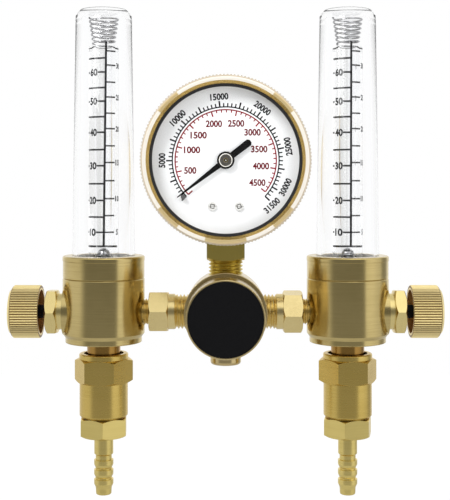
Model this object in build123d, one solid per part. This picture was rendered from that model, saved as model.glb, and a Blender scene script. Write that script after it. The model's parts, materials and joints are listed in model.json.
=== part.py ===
from build123d import *
import math
import os

# Dual argon flowmeter regulator, in millimetres.
# X runs to the right, Y away from the viewer, Z up. The model is laid out from the crossing of the
# pipework axes and moved at the end, so that the middle of the inlet thread is the origin.

# Clearances
THREAD_FIT = 0.05
SLIDE_FIT = 0.05
SEAT_FIT = 0.02
RUNNING_GAP = 0.3
HEX_CORNER_ANGLE = 30

# Hexagonal nipples between the regulator and the flowmeters
PIPE_THREAD_R = 6.85
NIPPLE_THREAD_R = 5.15
NIPPLE_COLLAR_R = 7.05
NIPPLE_BORE_R = 2.4
NIPPLE_HEX = 15.2
NIPPLE_HEX_LENGTH = 7.7
NIPPLE_COLLAR_LENGTH = 2.5
NIPPLE_SMALL_LENGTH = 10.0
NIPPLE_BIG_LENGTH = 10.8
NIPPLE_GRIP = 6.5
NIPPLE_NECK = 1.9
NIPPLE_TURN = {"right": 37.0, "left": 35.0}

# Regulator body, turned about the Y axis
BODY_R = 16.0
BODY_RING_R = 16.4
BODY_RING_LENGTH = 3.4
BODY_BACK = 13.0
BODY_FRONT = 11.5
BODY_EDGE = 1.6
SPOT_FACE_R = 7.6
SPOT_FACE_DEPTH = 0.4
SPIGOT_R = 12.9
SPIGOT_LENGTH = 6.0
CHAMBER_R = 6.0
CHAMBER_LENGTH = 3.8
OUTLET_PASSAGE_R = 1.8
GAUGE_PASSAGE_R = 0.8
INLET_BORE_R = 3.0
INLET_PORT_DEPTH = 5.4

# Bonnet cap and its plain label
CAP_R = 15.1
CAP_LENGTH = 16.1
CAP_EDGE = 0.5
CAP_BORE_R = 12.4
CAP_FACE_THICKNESS = 2.9
LABEL_R = 14.4
LABEL_THICKNESS = 0.5
LABEL_RECESS = 0.9

# Piston, its spring, seat and nozzle
PISTON_HEAD_LENGTH = 4.4
PISTON_STEM_R = 4.0
PISTON_TRAVEL = 0.6
PISTON_SEAL_R = 10.4
PISTON_SEAL_WIDTH = 1.8
SEAT_DISC_R = 2.6
SEAT_DISC_DEPTH = 1.8
SEAT_TIP = 0.3
NOZZLE_R = 3.9
NOZZLE_LENGTH = 4.0
NOZZLE_LIP_R = 1.6
NOZZLE_LIP_LENGTH = 0.9
NOZZLE_BORE_R = 0.9
SPRING_R = 7.2
SPRING_WIRE = 1.6
SPRING_TURNS = 3.5
SPRING_POCKET_R = 9.2
SPRING_POCKET_DEPTH = 9.0

# Plug under the regulator body
PLUG_THREAD_R = 4.8
PLUG_THREAD_LENGTH = 5.5
PLUG_HEAD_R = 6.1
PLUG_HEAD_LENGTH = 5.4
PLUG_EDGE = 1.3

# Inlet nipple, nut and filter
NUT_HEX = 25.4
NUT_HEX_LENGTH = 11.0
NUT_GAP = 2.5
INLET_THREAD_R = 12.25
INLET_THREAD_LENGTH = 16.0
NUT_UNDERCUT_R = 11.2
NUT_UNDERCUT_LENGTH = 2.0
INLET_SHANK_R = 5.6
INLET_NIPPLE_BORE_R = 2.8
NOSE_FLANGE_R = 10.4
NOSE_FLANGE_LENGTH = 3.0
NOSE_LENGTH = 8.5
NOSE_TIP_R = 4.2
FILTER_LENGTH = 6.0
FILTER_WALL = 0.7

# Flowmeter body, turned about the vertical tube axis
BLOCK_STEP = 0.1
BLOCK_TOP = 13.4
BLOCK_BOTTOM = 12.0
BLOCK_RIM_INSET = 1.1
BLOCK_RIM_HEIGHT = 2.1
BLOCK_CHAMFER_HEIGHT = 1.5
BLOCK_GROOVE = 0.3
BOSS_R = 9.3
BOSS_FACE_DEPTH = 0.4
PORT_RECESS_R = 5.7
PORT_RECESS_DEPTH = 1.5
BLOCK_PASSAGE_R = 1.8
RETURN_PASSAGE_R = 1.2
COVER_SPIGOT_WALL = 1.35
COVER_SPIGOT_HEIGHT = 5.0
COVER_RECESS_FLOOR = 15.0
VALVE_CHAMBER_R = 3.2
VALVE_CHAMBER_START = 4.6
VALVE_SEAT_R = 0.9
SEAT_HOLE_OFFSET = 3.2
OUTLET_NECK_R = 6.65
OUTLET_NECK_LENGTH = 7.2
OUTLET_THREAD_R = 7.85
OUTLET_THREAD_LENGTH = 10.5
OUTLET_BORE_R = 3.4
OUTLET_BORE_TOP = 6.0

# Ring that clamps the clear cover
COLLAR_WALL = 1.8
COLLAR_LIP = 0.15
COLLAR_HEIGHT = 9.0
COLLAR_LIP_HEIGHT = 2.0
COLLAR_TOP_THICKNESS = 3.8

# Clear cover, metering tube, float and tube spring
COVER_BASE_R = 12.45
COVER_TAPER = 1.25
COVER_HEIGHT = 98.1
COVER_SHOULDER = 2.7
COVER_CROWN_INSET = 2.0
COVER_WALL = 1.8
COVER_ROOF_EXTRA = 0.5
COVER_FLANGE = 0.55
COVER_FLANGE_HEIGHT = 2.4
COVER_SEAL_HEIGHT = 1.0
METER_TUBE_R = 6.0
METER_TUBE_SOCKET = 3.0
METER_BORE_BASE_R = 2.75
METER_BORE_TOP_R = 3.3
METER_SEAT_R = 1.4
FLOAT_R = 2.6
FLOAT_REST = 22.8
TUBE_SPRING_LENGTH = 12.2
TUBE_SPRING_INSET = 1.8
TUBE_SPRING_ROOM = 1.5
TUBE_SPRING_WIRE = 0.8
TUBE_SPRING_TURNS = 4

# Needle valve and its knob
BONNET_THREAD_R = 6.1
BONNET_THREAD_LENGTH = 7.6
BONNET_COLLAR_R = 7.15
BONNET_COLLAR_LENGTH = 2.3
BONNET_HEX = 16.6
BONNET_HEX_LENGTH = 4.4
BONNET_TURN = {"right": 26.0, "left": 32.0}
PACKING_R = 4.0
PACKING_LENGTH = 2.2
STEM_R = 2.7
STEM_CONE_LENGTH = 3.4
STEM_TIP_R = 0.6
STEM_TIP_GAP = 0.9
STEM_END_R = 2.1
STEM_END_LENGTH = 7.0
KNOB_GAP = 2.4
KNOB_R = 10.5
KNOB_BORE_R = 8.6
KNOB_LENGTH = 11.1
KNOB_CROWN = 1.0
KNOB_CROWN_R = 8.6
KNOB_FLOOR = 2.6
KNOB_HUB_R = 4.3
KNOB_HUB_START = 2.8
KNOB_FLUTE_COUNT = 62
KNOB_FLUTE_DEPTH = 0.45
KNOB_EDGE = 0.6
KNOB_RIM_EDGE = 0.25
KNOB_SCREW_R = 1.2
KNOB_SCREW_LENGTH = 3.4
KNOB_SCREW_HEAD_R = 2.4
KNOB_SCREW_HEAD_HEIGHT = 1.3

# Outlet coupler, seal and hose barb
COUPLER_GAP = 4.5
COUPLER_COLLAR_R = 9.75
COUPLER_COLLAR_HEIGHT = 2.1
COUPLER_HEX = 20.3
COUPLER_HEX_HEIGHT = 9.4
COUPLER_SLEEVE_R = 9.6
COUPLER_SLEEVE_HEIGHT = 13.4
COUPLER_EDGE = 0.6
COUPLER_TURN = {"right": 6.0, "left": 56.0}
OUTLET_SEAL_HEIGHT = 1.5
OUTLET_SEAL_BORE_R = 4.2
BARB_GAP = 0.6
BARB_THREAD_LENGTH = 9.0
BARB_GROOVE_R = 7.3
BARB_HEX = 17.7
BARB_HEX_HEIGHT = 7.5
BARB_SHANK_R = 3.78
BARB_SHANK_HEIGHT = 7.0
BARB_ROOT_R = 3.2
BARB_R = 3.85
BARB_LAND = 1.8
BARB_PITCH = 3.85
BARB_COUNT = 3
BARB_FIRST = 2.5
BARB_TIP_R = 3.05
BARB_TIP_HEIGHT = 2.3
BARB_BORE_R = 2.1
BARB_TURN = {"right": 18.0, "left": 33.5}

# Gauge case, bezel, window and dial, turned about the gauge axis
CASE_R = 31.5
CASE_WALL = 1.2
CASE_FRONT = 15.0
CASE_BACK = 12.0
CASE_EDGE = 2.2
CASE_GAP = 0.1
BEZEL_WALL = 1.5
BEZEL_GRIP = 4.4
BEZEL_BAND = 2.4
BEZEL_LIP_SLOPE = 1.2
BEZEL_LIP_THICKNESS = 0.8
BEZEL_CROWN = 1.6
BEZEL_ROUND = 1.45
BEZEL_KNURL_COUNT = 150
BEZEL_KNURL_DEPTH = 0.4
WINDOW_THICKNESS = 2.0
GASKET_THICKNESS = 1.3
GASKET_SHOW = 1.1
DIAL_DEPTH = 3.6
DIAL_THICKNESS = 0.6
DIAL_HOLE_R = 2.3
DIAL_SCREW_X = 5.2
DIAL_SCREW_RISE = 4.1
DIAL_SCREW_R = 0.8
DIAL_SCREW_HEAD_R = 1.7
DIAL_SCREW_HEAD_HEIGHT = 0.9
DIAL_POST_R = 1.9
DIAL_POST_HEIGHT = 1.4

# Gauge socket
SOCKET_WIDTH = 14.9
SOCKET_SHOULDER = 20.7
SOCKET_TOP = 28.6
SOCKET_BOTTOM_R = 7.7
SOCKET_CHAMFER = 1.6
BLOCK_WIDTH = 12.0
BLOCK_FRONT = 1.4
BLOCK_REAR = 7.4
BLOCK_ABOVE_SCREWS = 7.4
SOCKET_BORE_R = 1.6

# Bourdon tube
BOURDON_INSET = 8.3
BOURDON_CENTRE = -3.0
BOURDON_DEPTH = 5.6
BOURDON_THICKNESS = 2.4
BOURDON_WALL = 0.5
BOURDON_START = 256.0
BOURDON_TIP = -25.0
BOURDON_PLUG_ANGLE = 6.0
TIP_LUG_R = 1.7

# Gauge movement: frame, sector and pinion
SECTOR_PIVOT_INSET = 15.4
PINION_TEETH = 10
SECTOR_TEETH = 64
CENTRE_PLAY = 0.1
TOOTH_ADDENDUM = 0.9
TOOTH_DEDENDUM = 1.2
TOOTH_ROOT_SHARE = 0.32
TOOTH_TIP_SHARE = 0.13
SECTOR_FIRST_ANGLE = 41.0
SECTOR_LAST_ANGLE = 99.0
SECTOR_SPOKE_ANGLE = 12.0
PLATE_THICKNESS = 0.8
ARBOR_R = 0.8
SECTOR_ARBOR_R = 0.95
PINION_FACE = 2.0
SECTOR_THICKNESS = 1.0
SECTOR_DEPTH = 2.4
LINK_THICKNESS = 0.7
LINK_EYE_R = 1.5
LINK_PIN_R = 0.6
TAIL_R = 7.0
TAIL_ANGLE = -30.0
PILLAR_R = 1.2
TOP_PILLAR_X = 3.8
TOP_PILLAR_Z = 2.8
LOW_PILLAR_X = 4.2
LOW_PILLAR_RISE = 5.0
FRAME_FOOT_INSET = 3.3
FRAME_HALF_WIDTH = 8.4
FRAME_SCREW_X = 3.6
FRAME_SCREW_RISE = 2.4
FRAME_SCREW_R = 0.8
FRAME_SCREW_LENGTH = 4.0
FRAME_SCREW_HEAD_R = 1.4
FRAME_SCREW_HEAD_HEIGHT = 0.7

# Pointer, hub and stop pin
POINTER_GAP = 1.5
POINTER_THICKNESS = 0.4
POINTER_REST = 217.5
POINTER_TIP_INSET = 6.3
POINTER_TAIL = 12.2
POINTER_ROOT_WIDTH = 2.4
POINTER_TIP_WIDTH = 0.4
POINTER_TAIL_WIDTH = 2.8
POINTER_TAIL_CHAMFER = 0.8
HUB_R = 3.4
HUB_NECK_R = 1.9
HUB_NECK_LENGTH = 1.0
HUB_FLANGE = 0.7
HUB_STEP_R = 2.6
HUB_STEP = 0.3
STOP_PIN_R = 0.9
STOP_PIN_INSET = 1.9
STOP_PIN_GAP = 0.1
STOP_PIN_HEIGHT = 2.5

# Sizes that follow from those above
COVER_TOP_R = COVER_BASE_R - COVER_TAPER
COVER_CROWN_R = COVER_TOP_R - COVER_CROWN_INSET
COVER_FLANGE_R = COVER_BASE_R + COVER_FLANGE
COVER_SPIGOT_R = COVER_FLANGE_R + SLIDE_FIT + COVER_SPIGOT_WALL
COLLAR_R = COVER_SPIGOT_R + COLLAR_WALL
COLLAR_LIP_R = COLLAR_R + COLLAR_LIP
BLOCK_R = COLLAR_R + BLOCK_STEP
BLOCK_RIM_R = BLOCK_R - BLOCK_RIM_INSET
BOSS_REACH = BLOCK_R - BOSS_FACE_DEPTH
RETURN_PASSAGE_OFFSET = COVER_BASE_R - COVER_WALL - RETURN_PASSAGE_R
NIPPLE_START_X = BODY_R - NIPPLE_GRIP
PORT_FLOOR = NIPPLE_START_X - RUNNING_GAP
NIPPLE_COLLAR_START = NIPPLE_START_X + NIPPLE_BIG_LENGTH
NIPPLE_HEX_START = NIPPLE_COLLAR_START + NIPPLE_COLLAR_LENGTH
NIPPLE_HEX_END = NIPPLE_HEX_START + NIPPLE_HEX_LENGTH
NIPPLE_END = NIPPLE_HEX_END + NIPPLE_SMALL_LENGTH
TUBE_AXIS_X = NIPPLE_HEX_END + NIPPLE_NECK + BLOCK_R
SPOT_FACE = BODY_R - SPOT_FACE_DEPTH
SPIGOT_FRONT = BODY_FRONT + SPIGOT_LENGTH
SPRING_POCKET_FLOOR = SPIGOT_FRONT - SPRING_POCKET_DEPTH
CAP_FRONT = BODY_FRONT + CAP_LENGTH
CAP_BORE_END = CAP_FRONT - CAP_FACE_THICKNESS
PISTON_FRONT = CAP_BORE_END - RUNNING_GAP
PISTON_SHOULDER = PISTON_FRONT - PISTON_HEAD_LENGTH
SEAT_FACE = -SEAT_TIP
NOZZLE_FRONT = SEAT_FACE - PISTON_TRAVEL - SLIDE_FIT
NOZZLE_BACK = NOZZLE_FRONT - NOZZLE_LENGTH
SPRING_TOP = PISTON_SHOULDER - PISTON_TRAVEL - SLIDE_FIT
NUT_BACK = BODY_BACK + NUT_GAP
NUT_THREAD_START = NUT_BACK + NUT_HEX_LENGTH
NUT_END = NUT_THREAD_START + INLET_THREAD_LENGTH
INLET_REACH = NUT_THREAD_START + INLET_THREAD_LENGTH / 2
FLANGE_START = NUT_END + RUNNING_GAP
FLANGE_END = FLANGE_START + NOSE_FLANGE_LENGTH
NOSE_END = FLANGE_END + NOSE_LENGTH
NECK_END = BLOCK_BOTTOM + OUTLET_NECK_LENGTH
OUTLET_THREAD_END = NECK_END + OUTLET_THREAD_LENGTH
COUPLER_TOP = BLOCK_BOTTOM + COUPLER_GAP
COUPLER_HEX_TOP = COUPLER_TOP + COUPLER_COLLAR_HEIGHT
COUPLER_HEX_LOW = COUPLER_HEX_TOP + COUPLER_HEX_HEIGHT
COUPLER_END = COUPLER_HEX_LOW + COUPLER_SLEEVE_HEIGHT
BARB_HEX_TOP = COUPLER_END + BARB_GAP
BARB_HEX_LOW = BARB_HEX_TOP + BARB_HEX_HEIGHT
BARB_SHANK_END = BARB_HEX_LOW + BARB_SHANK_HEIGHT
BARB_END = BARB_SHANK_END + BARB_FIRST + BARB_COUNT * BARB_PITCH + BARB_TIP_HEIGHT
COLLAR_TOP = BLOCK_TOP + COLLAR_HEIGHT
COLLAR_LEDGE = COLLAR_TOP - COLLAR_TOP_THICKNESS
FLANGE_FOOT = COVER_RECESS_FLOOR + COVER_SEAL_HEIGHT
COVER_TOP = COLLAR_TOP + COVER_HEIGHT
COVER_SHOULDER_Z = COVER_TOP - COVER_SHOULDER
COVER_ROOF = COVER_TOP - COVER_WALL - COVER_ROOF_EXTRA
METER_TUBE_TOP = COVER_ROOF - TUBE_SPRING_LENGTH
TUBE_SPRING_BASE_R = METER_TUBE_R - TUBE_SPRING_INSET
TUBE_SPRING_TOP_R = COVER_CROWN_R - COVER_WALL - TUBE_SPRING_ROOM
METER_TUBE_FOOT = COVER_RECESS_FLOOR - METER_TUBE_SOCKET
METER_SEAT_Z = FLOAT_REST - math.sqrt(FLOAT_R**2 - METER_SEAT_R**2) - SEAT_FIT
BONNET_COLLAR_START = TUBE_AXIS_X + BOSS_REACH
BONNET_HEX_START = BONNET_COLLAR_START + BONNET_COLLAR_LENGTH
BONNET_HEX_END = BONNET_HEX_START + BONNET_HEX_LENGTH
BONNET_START = BONNET_COLLAR_START - BONNET_THREAD_LENGTH
STEM_TIP = TUBE_AXIS_X + VALVE_CHAMBER_START + STEM_TIP_GAP
KNOB_START = BONNET_HEX_END + KNOB_GAP
KNOB_END = KNOB_START + KNOB_LENGTH
KNOB_FLOOR_X = KNOB_END - KNOB_FLOOR
STEM_END = KNOB_FLOOR_X - 0.5
STEM_SHOULDER = STEM_END - STEM_END_LENGTH
GAUGE_RISE = SOCKET_TOP + CASE_GAP + CASE_R
CASE_INNER_R = CASE_R - CASE_WALL
WINDOW_FRONT = CASE_FRONT + WINDOW_THICKNESS
GASKET_FRONT = WINDOW_FRONT + GASKET_THICKNESS
BEZEL_FRONT = GASKET_FRONT + BEZEL_LIP_THICKNESS + BEZEL_CROWN
BEZEL_SKIRT_BACK = CASE_FRONT - BEZEL_GRIP
BEZEL_R = CASE_R + BEZEL_WALL
BEZEL_BAND_R = BEZEL_R - BEZEL_BAND
BEZEL_LIP_R = BEZEL_BAND_R - BEZEL_LIP_SLOPE
GASKET_INNER_R = BEZEL_LIP_R - GASKET_SHOW
DIAL_R = CASE_INNER_R - RUNNING_GAP
DIAL_FACE = CASE_FRONT - DIAL_DEPTH
DIAL_BACK = DIAL_FACE - DIAL_THICKNESS
POINTER_PLANE = DIAL_FACE + POINTER_GAP
POINTER_TIP = DIAL_R - POINTER_TIP_INSET
STOP_PIN_RADIUS = POINTER_TIP - STOP_PIN_INSET
BOURDON_R = CASE_INNER_R - BOURDON_INSET
FRAME_FOOT_Z = FRAME_FOOT_INSET - CASE_INNER_R
FRAME_SCREW_Z = FRAME_FOOT_Z + FRAME_SCREW_RISE
LOW_PILLAR_Z = FRAME_FOOT_Z + LOW_PILLAR_RISE
DIAL_SCREW_Z = LOW_PILLAR_Z + DIAL_SCREW_RISE
BLOCK_HEAD = GAUGE_RISE + FRAME_SCREW_Z + BLOCK_ABOVE_SCREWS
BACK_PLATE_BACK = BLOCK_FRONT
BACK_PLATE_FRONT = BACK_PLATE_BACK + PLATE_THICKNESS
FRONT_PLATE_FRONT = DIAL_BACK - DIAL_POST_HEIGHT
FRONT_PLATE_BACK = FRONT_PLATE_FRONT - PLATE_THICKNESS
SECTOR_PLANE = FRONT_PLATE_BACK - SECTOR_DEPTH
GEAR_CENTRES = CASE_INNER_R - SECTOR_PIVOT_INSET
GEAR_MODULE = 2 * (GEAR_CENTRES - CENTRE_PLAY) / (PINION_TEETH + SECTOR_TEETH)
SECTOR_BACK = SECTOR_PLANE - SECTOR_THICKNESS / 2
LINK_FRONT = SECTOR_BACK - RUNNING_GAP
LINK_BACK = LINK_FRONT - LINK_THICKNESS
LUG_FRONT = LINK_BACK - RUNNING_GAP
HUB_FRONT = POINTER_PLANE + POINTER_THICKNESS + HUB_FLANGE + HUB_STEP

# Frames of reference for the turned pieces
FORWARD = Rot(90, 0, 0)
BACKWARD = Rot(-90, 0, 0)
OUTWARD = Rot(0, 90, 0)
GAUGE = Pos(0, 0, GAUGE_RISE) * FORWARD
TUBE = Pos(TUBE_AXIS_X, 0, 0)
SIDES = {"right": Rot(0, 0, 0), "left": Rot(0, 0, 180)}


def turned(*corners):
    """A solid turned about Z from (radius, height) corners, each with an optional rounding."""
    points = [(corner[0], 0, corner[1]) for corner in corners]
    rounding = [corner[2] if len(corner) > 2 else 0 for corner in corners]
    outline = FilletPolyline(*points, radius=rounding, close=True)
    return revolve(make_face(outline), Axis.Z)


def rod(radius, low, high):
    """A plain round bar along Z."""
    return Pos(0, 0, low) * extrude(Circle(radius), amount=high - low)


def ring(outer, inner, low, high):
    """A plain flat ring about Z."""
    return Pos(0, 0, low) * extrude(Circle(outer) - Circle(inner), amount=high - low)


def hex_bar(across_flats, low, high, turn):
    """A hexagonal bar along Z with its corners turned off at both ends."""
    flat_r = across_flats / 2
    corner_r = across_flats / math.sqrt(3) + SEAT_FIT
    fall = (corner_r - flat_r) * math.tan(math.radians(HEX_CORNER_ANGLE))
    prism = extrude(RegularPolygon(flat_r, 6, major_radius=False, rotation=turn), amount=high - low)
    blank = turned(
        (0, low), (flat_r, low), (corner_r, low + fall),
        (corner_r, high - fall), (flat_r, high), (0, high),
    )
    return Pos(0, 0, low) * prism & blank


def coil(radius, top_radius, wire, low, high, turns):
    """A spring about Z, wound from square wire between two end faces."""
    height = high - low - wire
    slope = math.degrees(math.atan2(top_radius - radius, height))
    path = Helix(pitch=height / turns, height=height, radius=radius, cone_angle=slope)
    start = Plane(origin=path @ 0, x_dir=(1, 0, 0), z_dir=path % 0)
    wound = sweep(start * Rectangle(wire, wire), path=path, is_frenet=True)
    return Pos(0, 0, low + wire / 2) * wound


def fluted_bar(radius, depth, count, length):
    """A bar along Z with straight vee flutes all round."""
    step = math.tau / count
    points = []
    for number in range(count):
        angle = number * step
        points.append((radius * math.cos(angle), radius * math.sin(angle)))
        valley = angle + step / 2
        points.append(((radius - depth) * math.cos(valley), (radius - depth) * math.sin(valley)))
    return extrude(make_face(Polyline(*points, close=True)), amount=length)


def gear_outline(teeth, first, last):
    """Corner points of straight-flanked teeth, between two angles in degrees."""
    pitch_r = GEAR_MODULE * teeth / 2
    tip_r = pitch_r + GEAR_MODULE * TOOTH_ADDENDUM
    root_r = pitch_r - GEAR_MODULE * TOOTH_DEDENDUM
    step = 360 / teeth
    rising = ((-TOOTH_ROOT_SHARE, root_r), (-TOOTH_TIP_SHARE, tip_r))
    falling = ((TOOTH_TIP_SHARE, tip_r), (TOOTH_ROOT_SHARE, root_r))
    points = []
    for number in range(math.ceil(first / step), math.floor(last / step) + 1):
        for offset, radius in rising + falling:
            angle = math.radians((number + offset) * step)
            points.append((radius * math.cos(angle), radius * math.sin(angle)))
    return points


def polar(radius, degrees):
    """A point in the plane of the gauge's face."""
    return (radius * math.cos(math.radians(degrees)), radius * math.sin(math.radians(degrees)))


def flow_body():
    """Turned flowmeter body with a boss for the valve, ports and gas passages."""
    body = turned(
        (0, -OUTLET_THREAD_END),
        (OUTLET_THREAD_R - COUPLER_EDGE, -OUTLET_THREAD_END),
        (OUTLET_THREAD_R, COUPLER_EDGE - OUTLET_THREAD_END),
        (OUTLET_THREAD_R, -NECK_END - COUPLER_EDGE),
        (OUTLET_NECK_R, -NECK_END),
        (OUTLET_NECK_R, -BLOCK_BOTTOM),
        (BLOCK_RIM_R, -BLOCK_BOTTOM, BLOCK_GROOVE),
        (BLOCK_RIM_R, BLOCK_RIM_HEIGHT - BLOCK_BOTTOM),
        (BLOCK_R, BLOCK_RIM_HEIGHT + BLOCK_CHAMFER_HEIGHT - BLOCK_BOTTOM),
        (BLOCK_R, BLOCK_TOP - BLOCK_GROOVE),
        (BLOCK_R - BLOCK_GROOVE, BLOCK_TOP),
        (COVER_SPIGOT_R, BLOCK_TOP),
        (COVER_SPIGOT_R, BLOCK_TOP + COVER_SPIGOT_HEIGHT),
        (0, BLOCK_TOP + COVER_SPIGOT_HEIGHT),
    )
    body += OUTWARD * rod(BOSS_R, 0, BOSS_REACH)
    body -= OUTWARD * rod(BOSS_R, BOSS_REACH, BLOCK_R + 1)
    recess_top = BLOCK_TOP + COVER_SPIGOT_HEIGHT + 1
    body -= rod(COVER_FLANGE_R + SLIDE_FIT, COVER_RECESS_FLOOR, recess_top)
    body -= rod(METER_TUBE_R + SLIDE_FIT, METER_TUBE_FOOT, COVER_RECESS_FLOOR)
    body -= rod(BLOCK_PASSAGE_R, 0, METER_TUBE_FOOT)
    body -= rod(OUTLET_BORE_R, -OUTLET_THREAD_END, -OUTLET_BORE_TOP)
    inner_face = BLOCK_R + 1
    port_floor = TUBE_AXIS_X - NIPPLE_END - THREAD_FIT
    body -= OUTWARD * rod(PORT_RECESS_R, -inner_face, PORT_RECESS_DEPTH - BLOCK_R)
    body -= OUTWARD * rod(NIPPLE_THREAD_R + THREAD_FIT, -inner_face, -port_floor)
    body -= OUTWARD * rod(BLOCK_PASSAGE_R, -port_floor, 0)
    bonnet_floor = BOSS_REACH - BONNET_THREAD_LENGTH - THREAD_FIT
    body -= OUTWARD * rod(BONNET_THREAD_R + THREAD_FIT, bonnet_floor, BOSS_REACH)
    body -= OUTWARD * rod(VALVE_CHAMBER_R, VALVE_CHAMBER_START, bonnet_floor)
    body -= OUTWARD * rod(VALVE_SEAT_R, SEAT_HOLE_OFFSET, VALVE_CHAMBER_START)
    body -= Pos(SEAT_HOLE_OFFSET, 0, 0) * rod(VALVE_SEAT_R, -OUTLET_BORE_TOP, 0)
    body -= Pos(RETURN_PASSAGE_OFFSET, 0, 0) * rod(RETURN_PASSAGE_R, 0, COVER_RECESS_FLOOR)
    return TUBE * body


def tube_collar():
    """Screwed ring that clamps the flange of the clear cover."""
    return TUBE * turned(
        (COVER_SPIGOT_R + THREAD_FIT, BLOCK_TOP),
        (COLLAR_R - BLOCK_GROOVE, BLOCK_TOP),
        (COLLAR_R, BLOCK_TOP + BLOCK_GROOVE),
        (COLLAR_R, COLLAR_TOP - COLLAR_LIP_HEIGHT),
        (COLLAR_LIP_R, COLLAR_TOP - COLLAR_LIP_HEIGHT),
        (COLLAR_LIP_R, COLLAR_TOP, COLLAR_LIP_HEIGHT * 0.4),
        (COVER_BASE_R + SLIDE_FIT, COLLAR_TOP),
        (COVER_BASE_R + SLIDE_FIT, COLLAR_LEDGE),
        (COVER_SPIGOT_R + THREAD_FIT, COLLAR_LEDGE),
    )


def tube_cover():
    """Clear tapered cover, closed at the top and flanged at the foot."""
    inner_base = COVER_BASE_R - COVER_WALL
    inner_top = COVER_TOP_R - COVER_WALL
    return TUBE * turned(
        (inner_base, FLANGE_FOOT),
        (COVER_FLANGE_R, FLANGE_FOOT),
        (COVER_FLANGE_R, FLANGE_FOOT + COVER_FLANGE_HEIGHT),
        (COVER_BASE_R, FLANGE_FOOT + COVER_FLANGE_HEIGHT),
        (COVER_BASE_R, COLLAR_TOP),
        (COVER_TOP_R, COVER_SHOULDER_Z, COVER_WALL),
        (COVER_CROWN_R, COVER_TOP, COVER_WALL),
        (0, COVER_TOP),
        (0, COVER_ROOF),
        (COVER_CROWN_R - COVER_WALL, COVER_ROOF),
        (inner_top, COVER_SHOULDER_Z - COVER_WALL),
        (inner_base, COLLAR_TOP),
    )


def cover_seal():
    """Flat seal under the flange of the cover."""
    seal = ring(COVER_FLANGE_R, COVER_BASE_R - COVER_WALL, COVER_RECESS_FLOOR, FLANGE_FOOT)
    return TUBE * seal


def metering_tube():
    """Thick clear tube with a tapered bore and a seat for the float."""
    return TUBE * turned(
        (METER_SEAT_R, METER_TUBE_FOOT),
        (METER_TUBE_R, METER_TUBE_FOOT),
        (METER_TUBE_R, METER_TUBE_TOP),
        (METER_BORE_TOP_R, METER_TUBE_TOP),
        (METER_BORE_BASE_R, METER_SEAT_Z),
        (METER_SEAT_R, METER_SEAT_Z),
    )


def float_ball():
    """Loose ball that rises in the metering tube."""
    return TUBE * Pos(0, 0, FLOAT_REST) * Sphere(FLOAT_R)


def tube_spring():
    """Conical spring that holds the metering tube down on its seat."""
    wound = coil(
        TUBE_SPRING_BASE_R, TUBE_SPRING_TOP_R, TUBE_SPRING_WIRE,
        METER_TUBE_TOP + SLIDE_FIT, COVER_ROOF - SLIDE_FIT, TUBE_SPRING_TURNS,
    )
    return TUBE * wound


def valve_bonnet(side):
    """Screwed bonnet of the needle valve, with a hexagon and a pocket for the packing."""
    bonnet = rod(BONNET_THREAD_R, BONNET_START, BONNET_COLLAR_START)
    bonnet += rod(BONNET_COLLAR_R, BONNET_COLLAR_START, BONNET_HEX_START)
    bonnet += hex_bar(BONNET_HEX, BONNET_HEX_START, BONNET_HEX_END, BONNET_TURN[side])
    bonnet -= rod(STEM_R + SLIDE_FIT, BONNET_START, BONNET_HEX_END)
    bonnet -= rod(PACKING_R + SEAT_FIT, BONNET_START, BONNET_START + PACKING_LENGTH)
    return OUTWARD * bonnet


def stem_packing():
    """Packing ring round the valve stem."""
    packing = ring(PACKING_R, STEM_R + SLIDE_FIT, BONNET_START, BONNET_START + PACKING_LENGTH)
    return OUTWARD * packing


def valve_stem():
    """Needle valve stem, tapped at its outer end for the knob's screw."""
    return OUTWARD * turned(
        (0, STEM_TIP),
        (STEM_TIP_R, STEM_TIP),
        (STEM_R, STEM_TIP + STEM_CONE_LENGTH),
        (STEM_R, STEM_SHOULDER),
        (STEM_END_R, STEM_SHOULDER),
        (STEM_END_R, STEM_END),
        (KNOB_SCREW_R + THREAD_FIT, STEM_END),
        (KNOB_SCREW_R + THREAD_FIT, STEM_END - KNOB_SCREW_LENGTH),
        (0, STEM_END - KNOB_SCREW_LENGTH),
    )


def knob():
    """Fluted cup-shaped hand knob, open towards the flowmeter."""
    flutes = Pos(0, 0, KNOB_START) * fluted_bar(KNOB_R, KNOB_FLUTE_DEPTH, KNOB_FLUTE_COUNT, KNOB_LENGTH)
    shell = flutes & turned(
        (KNOB_BORE_R, KNOB_START),
        (KNOB_R - KNOB_RIM_EDGE, KNOB_START),
        (KNOB_R, KNOB_START + KNOB_RIM_EDGE),
        (KNOB_R, KNOB_END - KNOB_EDGE),
        (KNOB_R - KNOB_EDGE, KNOB_END),
        (0, KNOB_END),
        (0, KNOB_FLOOR_X),
        (KNOB_BORE_R, KNOB_FLOOR_X),
    )
    shell += turned(
        (0, KNOB_FLOOR_X), (KNOB_CROWN_R, KNOB_FLOOR_X), (KNOB_R - KNOB_EDGE * 2, KNOB_END),
        (KNOB_CROWN_R, KNOB_END + KNOB_CROWN, KNOB_CROWN / 2), (0, KNOB_END + KNOB_CROWN),
    )
    shell += rod(KNOB_HUB_R, KNOB_START + KNOB_HUB_START, KNOB_FLOOR_X)
    head_seat = KNOB_END + KNOB_CROWN - KNOB_SCREW_HEAD_HEIGHT
    shell -= rod(STEM_END_R + SLIDE_FIT, KNOB_START, STEM_END + SLIDE_FIT)
    shell -= rod(KNOB_SCREW_R + THREAD_FIT, STEM_END, head_seat)
    shell -= rod(KNOB_SCREW_HEAD_R + SLIDE_FIT, head_seat, KNOB_END + KNOB_CROWN)
    return OUTWARD * shell


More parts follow.
